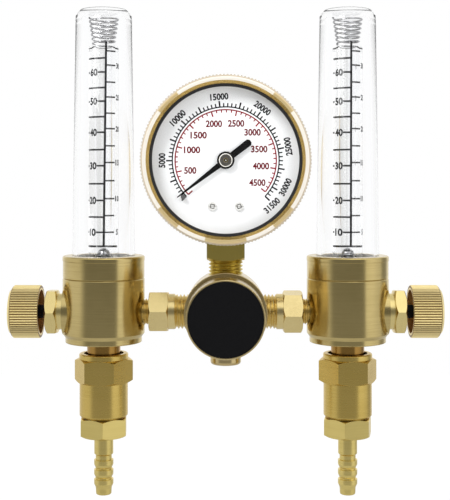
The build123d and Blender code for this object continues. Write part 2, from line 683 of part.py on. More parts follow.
def knob_screw():
    """Screw that holds the knob on the stem."""
    head_seat = KNOB_END + KNOB_CROWN - KNOB_SCREW_HEAD_HEIGHT
    screw = rod(KNOB_SCREW_R, STEM_END - KNOB_SCREW_LENGTH + RUNNING_GAP, head_seat)
    head = rod(KNOB_SCREW_HEAD_R, head_seat, head_seat + KNOB_SCREW_HEAD_HEIGHT)
    slot_depth = KNOB_SCREW_HEAD_HEIGHT / 2
    slot_place = Pos(0, 0, head_seat + KNOB_SCREW_HEAD_HEIGHT - slot_depth / 2)
    head -= slot_place * Box(KNOB_SCREW_HEAD_R * 3, KNOB_SCREW_R / 2, slot_depth)
    return OUTWARD * (screw + head)


def hex_nipple(side):
    """Reducing nipple between the regulator body and a flowmeter."""
    nipple = rod(PIPE_THREAD_R, NIPPLE_START_X, NIPPLE_COLLAR_START)
    nipple += rod(NIPPLE_COLLAR_R, NIPPLE_COLLAR_START, NIPPLE_HEX_START)
    nipple += hex_bar(NIPPLE_HEX, NIPPLE_HEX_START, NIPPLE_HEX_END, NIPPLE_TURN[side])
    nipple += rod(NIPPLE_THREAD_R, NIPPLE_HEX_END, NIPPLE_END)
    nipple -= rod(NIPPLE_BORE_R, NIPPLE_START_X, NIPPLE_END)
    return OUTWARD * nipple


def outlet_coupler(side):
    """Coupler with a hexagon, tapped right through."""
    coupler = turned(
        (0, -COUPLER_END), (COUPLER_SLEEVE_R, -COUPLER_END, COUPLER_EDGE),
        (COUPLER_SLEEVE_R, -COUPLER_HEX_LOW), (COUPLER_COLLAR_R, -COUPLER_HEX_TOP),
        (COUPLER_COLLAR_R, -COUPLER_TOP, COUPLER_EDGE), (0, -COUPLER_TOP),
    )
    coupler += hex_bar(COUPLER_HEX, -COUPLER_HEX_LOW, -COUPLER_HEX_TOP, COUPLER_TURN[side])
    coupler -= rod(OUTLET_THREAD_R + THREAD_FIT, -COUPLER_END, -COUPLER_TOP)
    return TUBE * coupler


def outlet_seal():
    """Flat washer between the flowmeter's outlet and the hose barb."""
    seal_top = -OUTLET_THREAD_END
    seal = ring(OUTLET_THREAD_R, OUTLET_SEAL_BORE_R, seal_top - OUTLET_SEAL_HEIGHT, seal_top)
    return TUBE * seal


def hose_barb(side):
    """Male-threaded hose barb with a hexagon."""
    thread_top = min(BARB_THREAD_LENGTH, COUPLER_END - OUTLET_THREAD_END - OUTLET_SEAL_HEIGHT)
    corners = [
        (BARB_BORE_R, thread_top - COUPLER_END),
        (OUTLET_THREAD_R, thread_top - COUPLER_END),
        (OUTLET_THREAD_R, BARB_GAP - COUPLER_END),
        (BARB_GROOVE_R, BARB_GAP - COUPLER_END),
        (BARB_GROOVE_R, -BARB_HEX_TOP),
        (BARB_SHANK_R, -BARB_HEX_TOP),
        (BARB_SHANK_R, -BARB_SHANK_END),
        (BARB_ROOT_R, -BARB_SHANK_END - BARB_LAND / 3),
    ]
    for number in range(BARB_COUNT):
        top = -BARB_SHANK_END - BARB_FIRST - number * BARB_PITCH
        corners.append((BARB_ROOT_R, top))
        corners.append((BARB_R, top))
        corners.append((BARB_R, top - BARB_LAND))
        corners.append((BARB_ROOT_R, top - BARB_PITCH + BARB_LAND / 3))
    corners.append((BARB_TIP_R, -BARB_END, BARB_LAND / 3))
    corners.append((BARB_BORE_R, -BARB_END))
    barb = turned(*corners)
    hexagon = hex_bar(BARB_HEX, -BARB_HEX_LOW, -BARB_HEX_TOP, BARB_TURN[side])
    barb += hexagon - rod(BARB_SHANK_R, -BARB_HEX_LOW, -BARB_HEX_TOP)
    return TUBE * barb


def regulator_body():
    """Turned brass body with its ports, spring pocket and gas chambers."""
    ring_start = BODY_FRONT - BODY_RING_LENGTH
    body = turned(
        (0, -BODY_BACK), (BODY_R - BODY_EDGE, -BODY_BACK), (BODY_R, BODY_EDGE - BODY_BACK),
        (BODY_R, ring_start), (BODY_RING_R, ring_start), (BODY_RING_R, BODY_FRONT, BODY_EDGE / 4),
        (SPIGOT_R, BODY_FRONT), (SPIGOT_R, SPIGOT_FRONT), (0, SPIGOT_FRONT),
    )
    body -= rod(SPRING_POCKET_R, SPRING_POCKET_FLOOR, SPIGOT_FRONT)
    body -= rod(PISTON_STEM_R + SLIDE_FIT, NOZZLE_BACK, SPRING_POCKET_FLOOR)
    body -= rod(CHAMBER_R, NOZZLE_FRONT - NOZZLE_LIP_LENGTH, NOZZLE_FRONT + CHAMBER_LENGTH)
    body -= rod(INLET_BORE_R, -BODY_BACK, NOZZLE_BACK)
    body -= rod(PIPE_THREAD_R + THREAD_FIT, -BODY_BACK, INLET_PORT_DEPTH - BODY_BACK)
    body = FORWARD * body
    top = BODY_RING_R + 1
    for turn in (Rot(0, 90, 0), Rot(0, -90, 0), Rot(0, 0, 0)):
        body -= turn * rod(SPOT_FACE_R, SPOT_FACE, top)
        body -= turn * rod(PIPE_THREAD_R + THREAD_FIT, PORT_FLOOR, SPOT_FACE)
    for turn in (Rot(0, 90, 0), Rot(0, -90, 0)):
        body -= turn * rod(OUTLET_PASSAGE_R, 0, PORT_FLOOR)
    body -= Rot(180, 0, 0) * rod(SPOT_FACE_R, SPOT_FACE, top)
    body -= Rot(180, 0, 0) * rod(PLUG_THREAD_R + THREAD_FIT, SPOT_FACE - PLUG_THREAD_LENGTH, SPOT_FACE)
    passage_y = GAUGE_PASSAGE_R - NOZZLE_BACK + THREAD_FIT
    body -= Pos(0, passage_y, 0) * rod(GAUGE_PASSAGE_R, 0, PORT_FLOOR)
    return body


def bonnet_cap():
    """Cap screwed over the body, with the piston's bore and a recess for the label."""
    return FORWARD * turned(
        (SPIGOT_R + THREAD_FIT, BODY_FRONT),
        (CAP_R, BODY_FRONT),
        (CAP_R, CAP_FRONT, CAP_EDGE),
        (LABEL_R + SEAT_FIT, CAP_FRONT),
        (LABEL_R + SEAT_FIT, CAP_FRONT - LABEL_RECESS),
        (0, CAP_FRONT - LABEL_RECESS),
        (0, CAP_BORE_END),
        (CAP_BORE_R, CAP_BORE_END),
        (CAP_BORE_R, SPIGOT_FRONT + SEAT_FIT),
        (SPIGOT_R + THREAD_FIT, SPIGOT_FRONT + SEAT_FIT),
    )


def label_disc():
    """Plain disc in the cap's recess."""
    low = CAP_FRONT - LABEL_RECESS
    return FORWARD * rod(LABEL_R, low, low + LABEL_THICKNESS)


def piston():
    """Piston with a seal groove, a hollow seat pocket and a guide stem."""
    head_r = CAP_BORE_R - SLIDE_FIT
    groove_low = PISTON_SHOULDER + (PISTON_HEAD_LENGTH - PISTON_SEAL_WIDTH) / 2
    return FORWARD * turned(
        (SEAT_DISC_R + SEAT_FIT, SEAT_FACE + SEAT_TIP),
        (PISTON_STEM_R, SEAT_FACE + SEAT_TIP),
        (PISTON_STEM_R, PISTON_SHOULDER),
        (head_r, PISTON_SHOULDER),
        (head_r, groove_low),
        (PISTON_SEAL_R, groove_low),
        (PISTON_SEAL_R, groove_low + PISTON_SEAL_WIDTH),
        (head_r, groove_low + PISTON_SEAL_WIDTH),
        (head_r, PISTON_FRONT),
        (0, PISTON_FRONT),
        (0, SEAT_FACE + SEAT_DISC_DEPTH),
        (SEAT_DISC_R + SEAT_FIT, SEAT_FACE + SEAT_DISC_DEPTH),
    )


def piston_seal():
    """Seal ring in the piston's groove."""
    low = PISTON_SHOULDER + (PISTON_HEAD_LENGTH - PISTON_SEAL_WIDTH) / 2
    return FORWARD * ring(CAP_BORE_R - SLIDE_FIT, PISTON_SEAL_R, low, low + PISTON_SEAL_WIDTH)


def piston_seat():
    """Soft disc in the end of the piston's stem."""
    return FORWARD * rod(SEAT_DISC_R, SEAT_FACE, SEAT_FACE + SEAT_DISC_DEPTH)


def range_spring():
    """Heavy spring between the body and the piston's head."""
    return FORWARD * coil(
        SPRING_R, SPRING_R, SPRING_WIRE, SPRING_POCKET_FLOOR + SLIDE_FIT, SPRING_TOP, SPRING_TURNS
    )


def nozzle():
    """Pressed nozzle with a raised lip that the soft disc closes on."""
    return FORWARD * turned(
        (NOZZLE_BORE_R, NOZZLE_BACK),
        (NOZZLE_R, NOZZLE_BACK),
        (NOZZLE_R, NOZZLE_FRONT - NOZZLE_LIP_LENGTH),
        (NOZZLE_LIP_R, NOZZLE_FRONT - NOZZLE_LIP_LENGTH),
        (NOZZLE_LIP_R, NOZZLE_FRONT),
        (NOZZLE_BORE_R, NOZZLE_FRONT),
    )


def bottom_plug():
    """Rounded plug screwed into the foot of the body."""
    return Rot(180, 0, 0) * turned(
        (0, SPOT_FACE - PLUG_THREAD_LENGTH), (PLUG_THREAD_R, SPOT_FACE - PLUG_THREAD_LENGTH),
        (PLUG_THREAD_R, SPOT_FACE), (PLUG_HEAD_R, SPOT_FACE),
        (PLUG_HEAD_R, SPOT_FACE + PLUG_HEAD_LENGTH, PLUG_EDGE), (0, SPOT_FACE + PLUG_HEAD_LENGTH),
    )


def inlet_nipple():
    """Nipple from the body to the cylinder valve, with a flange and a rounded nose."""
    start = BODY_BACK - INLET_PORT_DEPTH + THREAD_FIT
    return BACKWARD * turned(
        (INLET_NIPPLE_BORE_R, start),
        (PIPE_THREAD_R, start),
        (PIPE_THREAD_R, BODY_BACK + NUT_GAP / 2),
        (INLET_SHANK_R, BODY_BACK + NUT_GAP / 2),
        (INLET_SHANK_R, FLANGE_START),
        (NOSE_FLANGE_R, FLANGE_START),
        (NOSE_FLANGE_R, FLANGE_END),
        (NOSE_TIP_R * 1.8, FLANGE_END, NOSE_TIP_R / 2),
        (NOSE_TIP_R, NOSE_END, 1),
        (INLET_NIPPLE_BORE_R, NOSE_END),
    )


def inlet_filter():
    """Sintered cup filter in the nose of the inlet nipple."""
    outer = INLET_NIPPLE_BORE_R - SEAT_FIT
    start = NOSE_END - FILTER_LENGTH
    return BACKWARD * turned(
        (0, start), (outer, start), (outer, NOSE_END), (outer - FILTER_WALL, NOSE_END),
        (outer - FILTER_WALL, start + FILTER_WALL), (0, start + FILTER_WALL),
    )


def inlet_nut():
    """Male-threaded gland nut that spins on the inlet nipple."""
    nut = hex_bar(NUT_HEX, NUT_BACK, NUT_THREAD_START, 0)
    nut += turned(
        (0, NUT_THREAD_START),
        (NUT_UNDERCUT_R, NUT_THREAD_START),
        (NUT_UNDERCUT_R, NUT_THREAD_START + NUT_UNDERCUT_LENGTH),
        (INLET_THREAD_R, NUT_THREAD_START + NUT_UNDERCUT_LENGTH * 1.5),
        (INLET_THREAD_R, NUT_END - NUT_UNDERCUT_LENGTH / 2),
        (NUT_UNDERCUT_R, NUT_END),
        (0, NUT_END),
    )
    nut -= rod(INLET_SHANK_R + RUNNING_GAP, NUT_BACK, NUT_END)
    return BACKWARD * nut


def gauge_case():
    """Pressed cup of the gauge, open at the front, with a slot for the socket."""
    case = turned(
        (0, -CASE_BACK), (CASE_R, -CASE_BACK, CASE_EDGE), (CASE_R, CASE_FRONT),
        (CASE_INNER_R, CASE_FRONT), (CASE_INNER_R, CASE_WALL - CASE_BACK, CASE_EDGE - CASE_WALL),
        (0, CASE_WALL - CASE_BACK),
    )
    slot_depth = BLOCK_FRONT + BLOCK_REAR + SEAT_FIT * 2
    slot = Box(BLOCK_WIDTH + SEAT_FIT * 2, CASE_R, slot_depth)
    case -= Pos(0, -CASE_R, (BLOCK_FRONT - BLOCK_REAR) / 2) * slot
    return GAUGE * case


def gauge_socket(bourdon):
    """Brass socket with a square, a pipe thread and the block that carries the tube."""
    shank = rod(PIPE_THREAD_R, PORT_FLOOR + THREAD_FIT, SOCKET_SHOULDER)
    square = extrude(Rectangle(SOCKET_WIDTH, SOCKET_WIDTH), amount=SOCKET_TOP - SOCKET_SHOULDER)
    turned_foot = turned(
        (0, SOCKET_SHOULDER), (SOCKET_BOTTOM_R, SOCKET_SHOULDER),
        (SOCKET_WIDTH, SOCKET_SHOULDER + SOCKET_CHAMFER * 2), (SOCKET_WIDTH, SOCKET_TOP),
        (0, SOCKET_TOP),
    )
    block = Rectangle(BLOCK_WIDTH, BLOCK_FRONT + BLOCK_REAR)
    block = extrude(block, amount=BLOCK_HEAD - SOCKET_TOP)
    socket = shank + (Pos(0, 0, SOCKET_SHOULDER) * square & turned_foot)
    socket += Pos(0, (BLOCK_REAR - BLOCK_FRONT) / 2, SOCKET_TOP) * block
    socket -= rod(SOCKET_BORE_R, PORT_FLOOR, BLOCK_HEAD - SOCKET_BORE_R * 2)
    socket -= frame_screw_holes()
    return socket - bourdon


def frame_screw_holes():
    """Tapped holes in the socket's block for the movement's screws."""
    low = BACK_PLATE_BACK - FRAME_SCREW_LENGTH
    hole = rod(FRAME_SCREW_R, low, BACK_PLATE_BACK)
    places = [Pos(x, FRAME_SCREW_Z, 0) for x in (-FRAME_SCREW_X, FRAME_SCREW_X)]
    return GAUGE * (places[0] * hole + places[1] * hole)


def gauge_bezel():
    """Screwed bezel with a coin-edge grip and a bevelled inner lip."""
    crown = BEZEL_FRONT - BEZEL_CROWN
    knurled = Pos(0, 0, BEZEL_SKIRT_BACK) * fluted_bar(
        BEZEL_R, BEZEL_KNURL_DEPTH, BEZEL_KNURL_COUNT, crown - BEZEL_SKIRT_BACK
    )
    skirt = knurled - rod(CASE_R + THREAD_FIT, BEZEL_SKIRT_BACK, GASKET_FRONT)
    skirt -= rod(BEZEL_LIP_R, GASKET_FRONT, crown)
    rim = turned(
        (BEZEL_LIP_R, crown), (BEZEL_R - BEZEL_KNURL_DEPTH, crown),
        (BEZEL_R - BEZEL_KNURL_DEPTH, BEZEL_FRONT, BEZEL_ROUND), (BEZEL_BAND_R, BEZEL_FRONT),
    )
    return GAUGE * (skirt + rim)


def window_gasket():
    """Black ring between the bezel and the window."""
    return GAUGE * ring(CASE_R, GASKET_INNER_R, WINDOW_FRONT, GASKET_FRONT)


def gauge_window():
    """Clear window disc."""
    return GAUGE * rod(CASE_R, CASE_FRONT, WINDOW_FRONT)


def stop_pin_angle():
    """Where the stop pin stands, just behind the resting pointer's edge."""
    reach = STOP_PIN_RADIUS / POINTER_TIP
    half_width = (POINTER_ROOT_WIDTH + (POINTER_TIP_WIDTH - POINTER_ROOT_WIDTH) * reach) / 2
    offset = STOP_PIN_R + STOP_PIN_GAP + half_width
    return POINTER_REST + math.degrees(math.asin(offset / STOP_PIN_RADIUS))


def gauge_dial():
    """Dial plate with holes for the arbor, its two screws and the stop pin."""
    dial = Circle(DIAL_R) - Circle(DIAL_HOLE_R)
    dial -= Pos(*polar(STOP_PIN_RADIUS, stop_pin_angle())) * Circle(STOP_PIN_R)
    for x in (-DIAL_SCREW_X, DIAL_SCREW_X):
        dial -= Pos(x, DIAL_SCREW_Z) * Circle(DIAL_SCREW_R + SEAT_FIT)
    return GAUGE * Pos(0, 0, DIAL_BACK) * extrude(dial, amount=DIAL_THICKNESS)


def dial_screws():
    """Two cheese-head screws through the dial into the movement's posts."""
    head = rod(DIAL_SCREW_HEAD_R, DIAL_FACE, DIAL_FACE + DIAL_SCREW_HEAD_HEIGHT)
    slot_depth = DIAL_SCREW_HEAD_HEIGHT / 2
    slot_place = Pos(0, 0, DIAL_FACE + DIAL_SCREW_HEAD_HEIGHT - slot_depth / 2)
    head -= slot_place * Box(DIAL_SCREW_HEAD_R * 3, DIAL_SCREW_R / 2, slot_depth)
    screw = head + rod(DIAL_SCREW_R, FRONT_PLATE_BACK, DIAL_FACE)
    places = [Pos(x, DIAL_SCREW_Z, 0) for x in (-DIAL_SCREW_X, DIAL_SCREW_X)]
    return Compound(children=[GAUGE * place * screw for place in places])


def stop_pin():
    """Pin on the dial that the pointer rests against."""
    place = Pos(*polar(STOP_PIN_RADIUS, stop_pin_angle()), 0)
    return GAUGE * place * rod(STOP_PIN_R, DIAL_BACK, DIAL_FACE + STOP_PIN_HEIGHT)


def pointer():
    """Flat pointer with a long tip and a short chamfered tail."""
    tail_end = POINTER_TAIL - POINTER_TAIL_CHAMFER
    half_tail = POINTER_TAIL_WIDTH / 2
    blade = make_face(Polyline(
        (0, -POINTER_ROOT_WIDTH / 2), (POINTER_TIP, -POINTER_TIP_WIDTH / 2),
        (POINTER_TIP, POINTER_TIP_WIDTH / 2), (0, POINTER_ROOT_WIDTH / 2),
        (-tail_end, half_tail), (-POINTER_TAIL, half_tail - POINTER_TAIL_CHAMFER),
        (-POINTER_TAIL, POINTER_TAIL_CHAMFER - half_tail), (-tail_end, -half_tail),
        close=True,
    ))
    blade = blade + Circle(HUB_R) - Circle(HUB_NECK_R)
    blade = extrude(blade, amount=POINTER_THICKNESS)
    return GAUGE * Rot(0, 0, POINTER_REST) * Pos(0, 0, POINTER_PLANE) * blade


def pointer_hub():
    """Stepped hub pressed on the arbor, over the pointer."""
    flange_low = POINTER_PLANE + POINTER_THICKNESS
    return GAUGE * turned(
        (ARBOR_R, flange_low - HUB_NECK_LENGTH),
        (HUB_NECK_R, flange_low - HUB_NECK_LENGTH),
        (HUB_NECK_R, flange_low),
        (HUB_R, flange_low),
        (HUB_R, flange_low + HUB_FLANGE),
        (HUB_STEP_R, flange_low + HUB_FLANGE),
        (HUB_STEP_R, HUB_FRONT),
        (ARBOR_R, HUB_FRONT),
    )


def pinion():
    """Pinion and arbor, turned and cut in one piece."""
    half_tooth = 180 / PINION_TEETH
    points = gear_outline(PINION_TEETH, 0, 360 - half_tooth)
    teeth = extrude(make_face(Polyline(*points, close=True)), amount=PINION_FACE)
    # A half-tooth turn puts a gap of the pinion on the line down to the sector's pivot.
    gear = Rot(0, 0, half_tooth - 90) * Pos(0, 0, SECTOR_PLANE - PINION_FACE / 2) * teeth
    return GAUGE * (gear + rod(ARBOR_R, BACK_PLATE_BACK, HUB_FRONT))


def sector_gear():
    """Toothed sector with its arbor, its tail and the link's pin."""
    teeth = gear_outline(SECTOR_TEETH, SECTOR_FIRST_ANGLE, SECTOR_LAST_ANGLE)
    root_r = GEAR_MODULE * (SECTOR_TEETH / 2 - TOOTH_DEDENDUM)
    rim_r = root_r - GEAR_MODULE * 3
    tail = polar(TAIL_R, TAIL_ANGLE)
    plate = make_face(Polyline((0, 0), *teeth, close=True))
    window = Pos(0, 0) * Circle(rim_r) - Circle(TAIL_R - LINK_EYE_R)
    arc_middle = (SECTOR_FIRST_ANGLE + SECTOR_LAST_ANGLE) / 2
    half_span = (SECTOR_LAST_ANGLE - SECTOR_FIRST_ANGLE) / 2 - SECTOR_SPOKE_ANGLE
    cutter = make_face(Polyline(
        (0, 0), polar(rim_r * 2, arc_middle - half_span), polar(rim_r * 2, arc_middle + half_span),
        close=True,
    ))
    plate -= window & cutter
    plate += Circle(SECTOR_ARBOR_R * 2.5)
    plate += Pos(*tail) * Circle(LINK_EYE_R)
    arm = Rectangle(TAIL_R, LINK_EYE_R * 1.6)
    plate += Rot(0, 0, TAIL_ANGLE) * Pos(TAIL_R / 2, 0) * arm
    sector = Pos(0, 0, SECTOR_BACK) * extrude(plate, amount=SECTOR_THICKNESS)
    sector += rod(SECTOR_ARBOR_R, BACK_PLATE_BACK, FRONT_PLATE_FRONT)
    sector += Pos(*tail, 0) * rod(LINK_PIN_R, LINK_BACK, SECTOR_BACK)
    return GAUGE * Pos(0, -GEAR_CENTRES, 0) * sector


def link_ends():
    """The sector's tail pin and the tube's tip, in the plane of the gauge's face."""
    tail = polar(TAIL_R, TAIL_ANGLE)
    return (tail[0], tail[1] - GEAR_CENTRES), polar(BOURDON_R, BOURDON_TIP)


def sector_link():
    """Flat link from the Bourdon tube's tip to the sector's tail."""
    tail, tip = link_ends()
    length = math.dist(tail, tip)
    turn = math.degrees(math.atan2(tip[1] - tail[1], tip[0] - tail[0]))
    plate = Circle(LINK_EYE_R) + Pos(length, 0) * Circle(LINK_EYE_R)
    plate += Pos(length / 2, 0) * Rectangle(length, LINK_EYE_R)
    plate -= Circle(LINK_PIN_R + SLIDE_FIT)
    plate -= Pos(length, 0) * Circle(LINK_PIN_R + SLIDE_FIT)
    link = Pos(*tail, LINK_BACK) * Rot(0, 0, turn) * extrude(plate, amount=LINK_THICKNESS)
    return GAUGE * link


def oval_ring(depth, thickness):
    """A flat-sided ring of the Bourdon tube's curve, with edges that taper."""
    half, flat = thickness / 2, depth / 2 - thickness / 2
    low, high = BOURDON_CENTRE - depth / 2, BOURDON_CENTRE + depth / 2
    return turned(
        (BOURDON_R, low), (BOURDON_R + half, BOURDON_CENTRE - flat),
        (BOURDON_R + half, BOURDON_CENTRE + flat), (BOURDON_R, high),
        (BOURDON_R - half, BOURDON_CENTRE + flat), (BOURDON_R - half, BOURDON_CENTRE - flat),
    )


def sweep_wedge(start, end):
    """A wedge that keeps the part of a ring between two angles in degrees."""
    reach = BOURDON_R * 3
    steps = 4
    corners = [(0, 0)]
    for number in range(steps + 1):
        corners.append(polar(reach, start + (end - start) * number / steps))
    wedge = extrude(make_face(Polyline(*corners, close=True)), amount=BOURDON_DEPTH * 2)
    return Pos(0, 0, BOURDON_CENTRE - BOURDON_DEPTH) * wedge


def bourdon_tube():
    """Curved flat-sided tube, closed at its tip by a lug that faces the link."""
    wall = BOURDON_WALL * 2
    outer = oval_ring(BOURDON_DEPTH, BOURDON_THICKNESS) & sweep_wedge(BOURDON_TIP, BOURDON_START)
    inner = oval_ring(BOURDON_DEPTH - wall, BOURDON_THICKNESS - wall)
    inner &= sweep_wedge(BOURDON_TIP + BOURDON_PLUG_ANGLE, BOURDON_START)
    lug = Pos(*polar(BOURDON_R, BOURDON_TIP), 0)
    lug *= rod(TIP_LUG_R, BOURDON_CENTRE - BOURDON_DEPTH / 2, LUG_FRONT)
    return GAUGE * (outer - inner + (lug - inner))


def movement_frame():
    """Two plates and their pillars, which carry both arbors and the dial's posts."""
    pivot = -GEAR_CENTRES
    outline = make_face(Polyline(
        (-BLOCK_WIDTH / 2, FRAME_FOOT_Z), (BLOCK_WIDTH / 2, FRAME_FOOT_Z),
        (FRAME_HALF_WIDTH, pivot), (TOP_PILLAR_X + PILLAR_R, TOP_PILLAR_Z + PILLAR_R),
        (-TOP_PILLAR_X - PILLAR_R, TOP_PILLAR_Z + PILLAR_R), (-FRAME_HALF_WIDTH, pivot),
        close=True,
    ))
    outline -= Circle(ARBOR_R + SLIDE_FIT)
    outline -= Pos(0, pivot) * Circle(SECTOR_ARBOR_R + SLIDE_FIT)
    back = outline
    front = outline
    for x in (-FRAME_SCREW_X, FRAME_SCREW_X):
        back -= Pos(x, FRAME_SCREW_Z) * Circle(FRAME_SCREW_R + SEAT_FIT)
        front -= Pos(x, FRAME_SCREW_Z) * Circle(FRAME_SCREW_HEAD_R * 1.2)
    frame = Pos(0, 0, BACK_PLATE_BACK) * extrude(back, amount=PLATE_THICKNESS)
    frame += Pos(0, 0, FRONT_PLATE_BACK) * extrude(front, amount=PLATE_THICKNESS)
    pillars = [(TOP_PILLAR_X, TOP_PILLAR_Z), (LOW_PILLAR_X, LOW_PILLAR_Z)]
    for x, z in pillars:
        for side in (-1, 1):
            frame += Pos(x * side, z, 0) * rod(PILLAR_R, BACK_PLATE_FRONT, FRONT_PLATE_BACK)
    for x in (-DIAL_SCREW_X, DIAL_SCREW_X):
        frame += Pos(x, DIAL_SCREW_Z, 0) * rod(DIAL_POST_R, FRONT_PLATE_FRONT, DIAL_BACK)
        frame -= Pos(x, DIAL_SCREW_Z, 0) * rod(DIAL_SCREW_R, FRONT_PLATE_BACK, DIAL_BACK)
    return GAUGE * frame


def movement_screws():
    """Two screws that hold the movement's back plate on the socket's block."""
    head_top = BACK_PLATE_FRONT + FRAME_SCREW_HEAD_HEIGHT
    screw = rod(FRAME_SCREW_R, BACK_PLATE_BACK - FRAME_SCREW_LENGTH + SEAT_FIT, BACK_PLATE_FRONT)
    screw += rod(FRAME_SCREW_HEAD_R, BACK_PLATE_FRONT, head_top)
    places = [Pos(x, FRAME_SCREW_Z, 0) for x in (-FRAME_SCREW_X, FRAME_SCREW_X)]
    return Compound(children=[GAUGE * place * screw for place in places])


def side_parts(side):
    """All the pieces of one flowmeter, turned about the middle for its side."""
    place = SIDES[side]
    parts = {
        "flow_body": flow_body(),
        "tube_collar": tube_collar(),
        "tube_cover": tube_cover(),
        "cover_seal": cover_seal(),
        "metering_tube": metering_tube(),
        "float_ball": float_ball(),
        "tube_spring": tube_spring(),
        "valve_bonnet": valve_bonnet(side),
        "stem_packing": stem_packing(),
        "valve_stem": valve_stem(),
        "knob": knob(),
        "knob_screw": knob_screw(),
        "hex_nipple": hex_nipple(side),
        "outlet_coupler": outlet_coupler(side),
        "outlet_seal": outlet_seal(),
        "hose_barb": hose_barb(side),
    }
    return {f"{side}_{name}": place * shape for name, shape in parts.items()}


def centre_parts():
    """The regulator, its inlet and its gauge."""
    bourdon = bourdon_tube()
    return {
        "regulator_body": regulator_body(),
        "bonnet_cap": bonnet_cap(),
        "label_disc": label_disc(),
        "piston": piston(),
        "piston_seal": piston_seal(),
        "piston_seat": piston_seat(),
        "range_spring": range_spring(),
        "nozzle": nozzle(),
        "bottom_plug": bottom_plug(),
        "inlet_nipple": inlet_nipple(),
        "inlet_filter": inlet_filter(),
        "inlet_nut": inlet_nut(),
        "gauge_case": gauge_case(),
        "gauge_socket": gauge_socket(bourdon),
        "gauge_bezel": gauge_bezel(),
        "window_gasket": window_gasket(),
        "gauge_window": gauge_window(),
        "gauge_dial": gauge_dial(),
        "dial_screws": dial_screws(),
        "stop_pin": stop_pin(),
        "pointer": pointer(),
        "pointer_hub": pointer_hub(),
        "pinion": pinion(),
        "sector_gear": sector_gear(),
        "sector_link": sector_link(),
        "bourdon_tube": bourdon,
        "movement_frame": movement_frame(),
        "movement_screws": movement_screws(),
    }


os.makedirs("parts", exist_ok=True)
origin = Pos(0, -INLET_REACH, 0)
for name, shape in {**side_parts("left"), **side_parts("right"), **centre_parts()}.items():
    export_step(origin * shape, f"parts/{name}.step")
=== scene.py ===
import json
import math

import bmesh
import bpy
import numpy as np
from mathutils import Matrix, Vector


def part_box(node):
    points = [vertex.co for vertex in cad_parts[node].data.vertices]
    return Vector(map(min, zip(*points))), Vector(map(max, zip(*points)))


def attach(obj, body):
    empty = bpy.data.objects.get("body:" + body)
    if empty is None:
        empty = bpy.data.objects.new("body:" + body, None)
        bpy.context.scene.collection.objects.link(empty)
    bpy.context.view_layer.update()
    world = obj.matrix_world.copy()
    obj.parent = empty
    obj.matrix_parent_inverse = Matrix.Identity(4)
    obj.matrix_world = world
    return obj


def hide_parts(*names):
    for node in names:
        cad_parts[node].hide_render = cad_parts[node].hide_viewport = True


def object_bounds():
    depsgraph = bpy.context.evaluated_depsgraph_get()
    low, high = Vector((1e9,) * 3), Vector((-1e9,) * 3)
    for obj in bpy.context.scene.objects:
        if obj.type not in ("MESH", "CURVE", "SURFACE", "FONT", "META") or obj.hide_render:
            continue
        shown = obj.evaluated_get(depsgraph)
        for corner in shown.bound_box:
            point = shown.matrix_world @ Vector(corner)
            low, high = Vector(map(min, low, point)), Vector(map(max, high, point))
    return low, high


# Dual argon flowmeter regulator, in metres. X runs right, Y away from the viewer, Z up.
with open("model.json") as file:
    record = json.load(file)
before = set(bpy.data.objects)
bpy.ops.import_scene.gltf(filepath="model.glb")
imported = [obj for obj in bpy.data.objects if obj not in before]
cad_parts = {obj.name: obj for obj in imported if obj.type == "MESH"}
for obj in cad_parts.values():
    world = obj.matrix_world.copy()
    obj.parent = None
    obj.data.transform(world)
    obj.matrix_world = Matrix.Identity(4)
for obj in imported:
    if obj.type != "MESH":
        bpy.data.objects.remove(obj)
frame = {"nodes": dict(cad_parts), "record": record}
CAD_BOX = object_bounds()
MM = 0.001
SIDES = {"left": -1, "right": 1}


# Places read from the frame

def middle(node):
    """Centre of a node's box."""
    low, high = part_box(node)
    return [(first + last) / 2 for first, last in zip(low, high)]


def span(node, axis):
    """Lowest and highest coordinate of a node along one axis."""
    low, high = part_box(node)
    return low[axis], high[axis]


GAUGE_X, _, GAUGE_Z = middle("gauge_dial")
PORT_Y = middle("left_float_ball")[1]
DIAL_FACE = span("gauge_dial", 1)[0]
TUBE_X = {side: middle(f"{side}_float_ball")[0] for side in SIDES}
BLOCK_TOP = span("left_tube_collar", 2)[1]
BODY_HEIGHT = 25.4 * MM
NECK_TOP = span("left_tube_collar", 2)[0] - BODY_HEIGHT
TUBE_R = (span("left_metering_tube", 0)[1] - span("left_metering_tube", 0)[0]) / 2
BODY_OF = {node: body for body, nodes in frame["record"]["behaviour"]["bodies"].items() for node in nodes}


# Shader maths

class Socket:
    """One output in a node tree. Arithmetic on it adds Math nodes to the tree."""

    def __init__(self, tree, output):
        self.tree = tree
        self.output = output

    def math(self, operation, *others):
        node = self.tree.nodes.new("ShaderNodeMath")
        node.operation = operation
        for slot, value in zip(node.inputs, (self, *others)):
            plug(self.tree, slot, value)
        return Socket(self.tree, node.outputs[0])

    def __add__(self, other):
        return self.math("ADD", other)

    def __mul__(self, other):
        return self.math("MULTIPLY", other)

    def __sub__(self, other):
        return self.math("SUBTRACT", other)

    def __rsub__(self, other):
        return (self * -1) + other

    def __truediv__(self, other):
        return self.math("DIVIDE", other)

    __radd__ = __add__
    __rmul__ = __mul__


def plug(tree, slot, value):
    """Puts a link or a plain value on an input. A plain colour is red, green and blue."""
    if isinstance(value, Socket):
        tree.links.new(value.output, slot)
    elif slot.type == "RGBA":
        slot.default_value = (*value, 1)
    else:
        slot.default_value = value


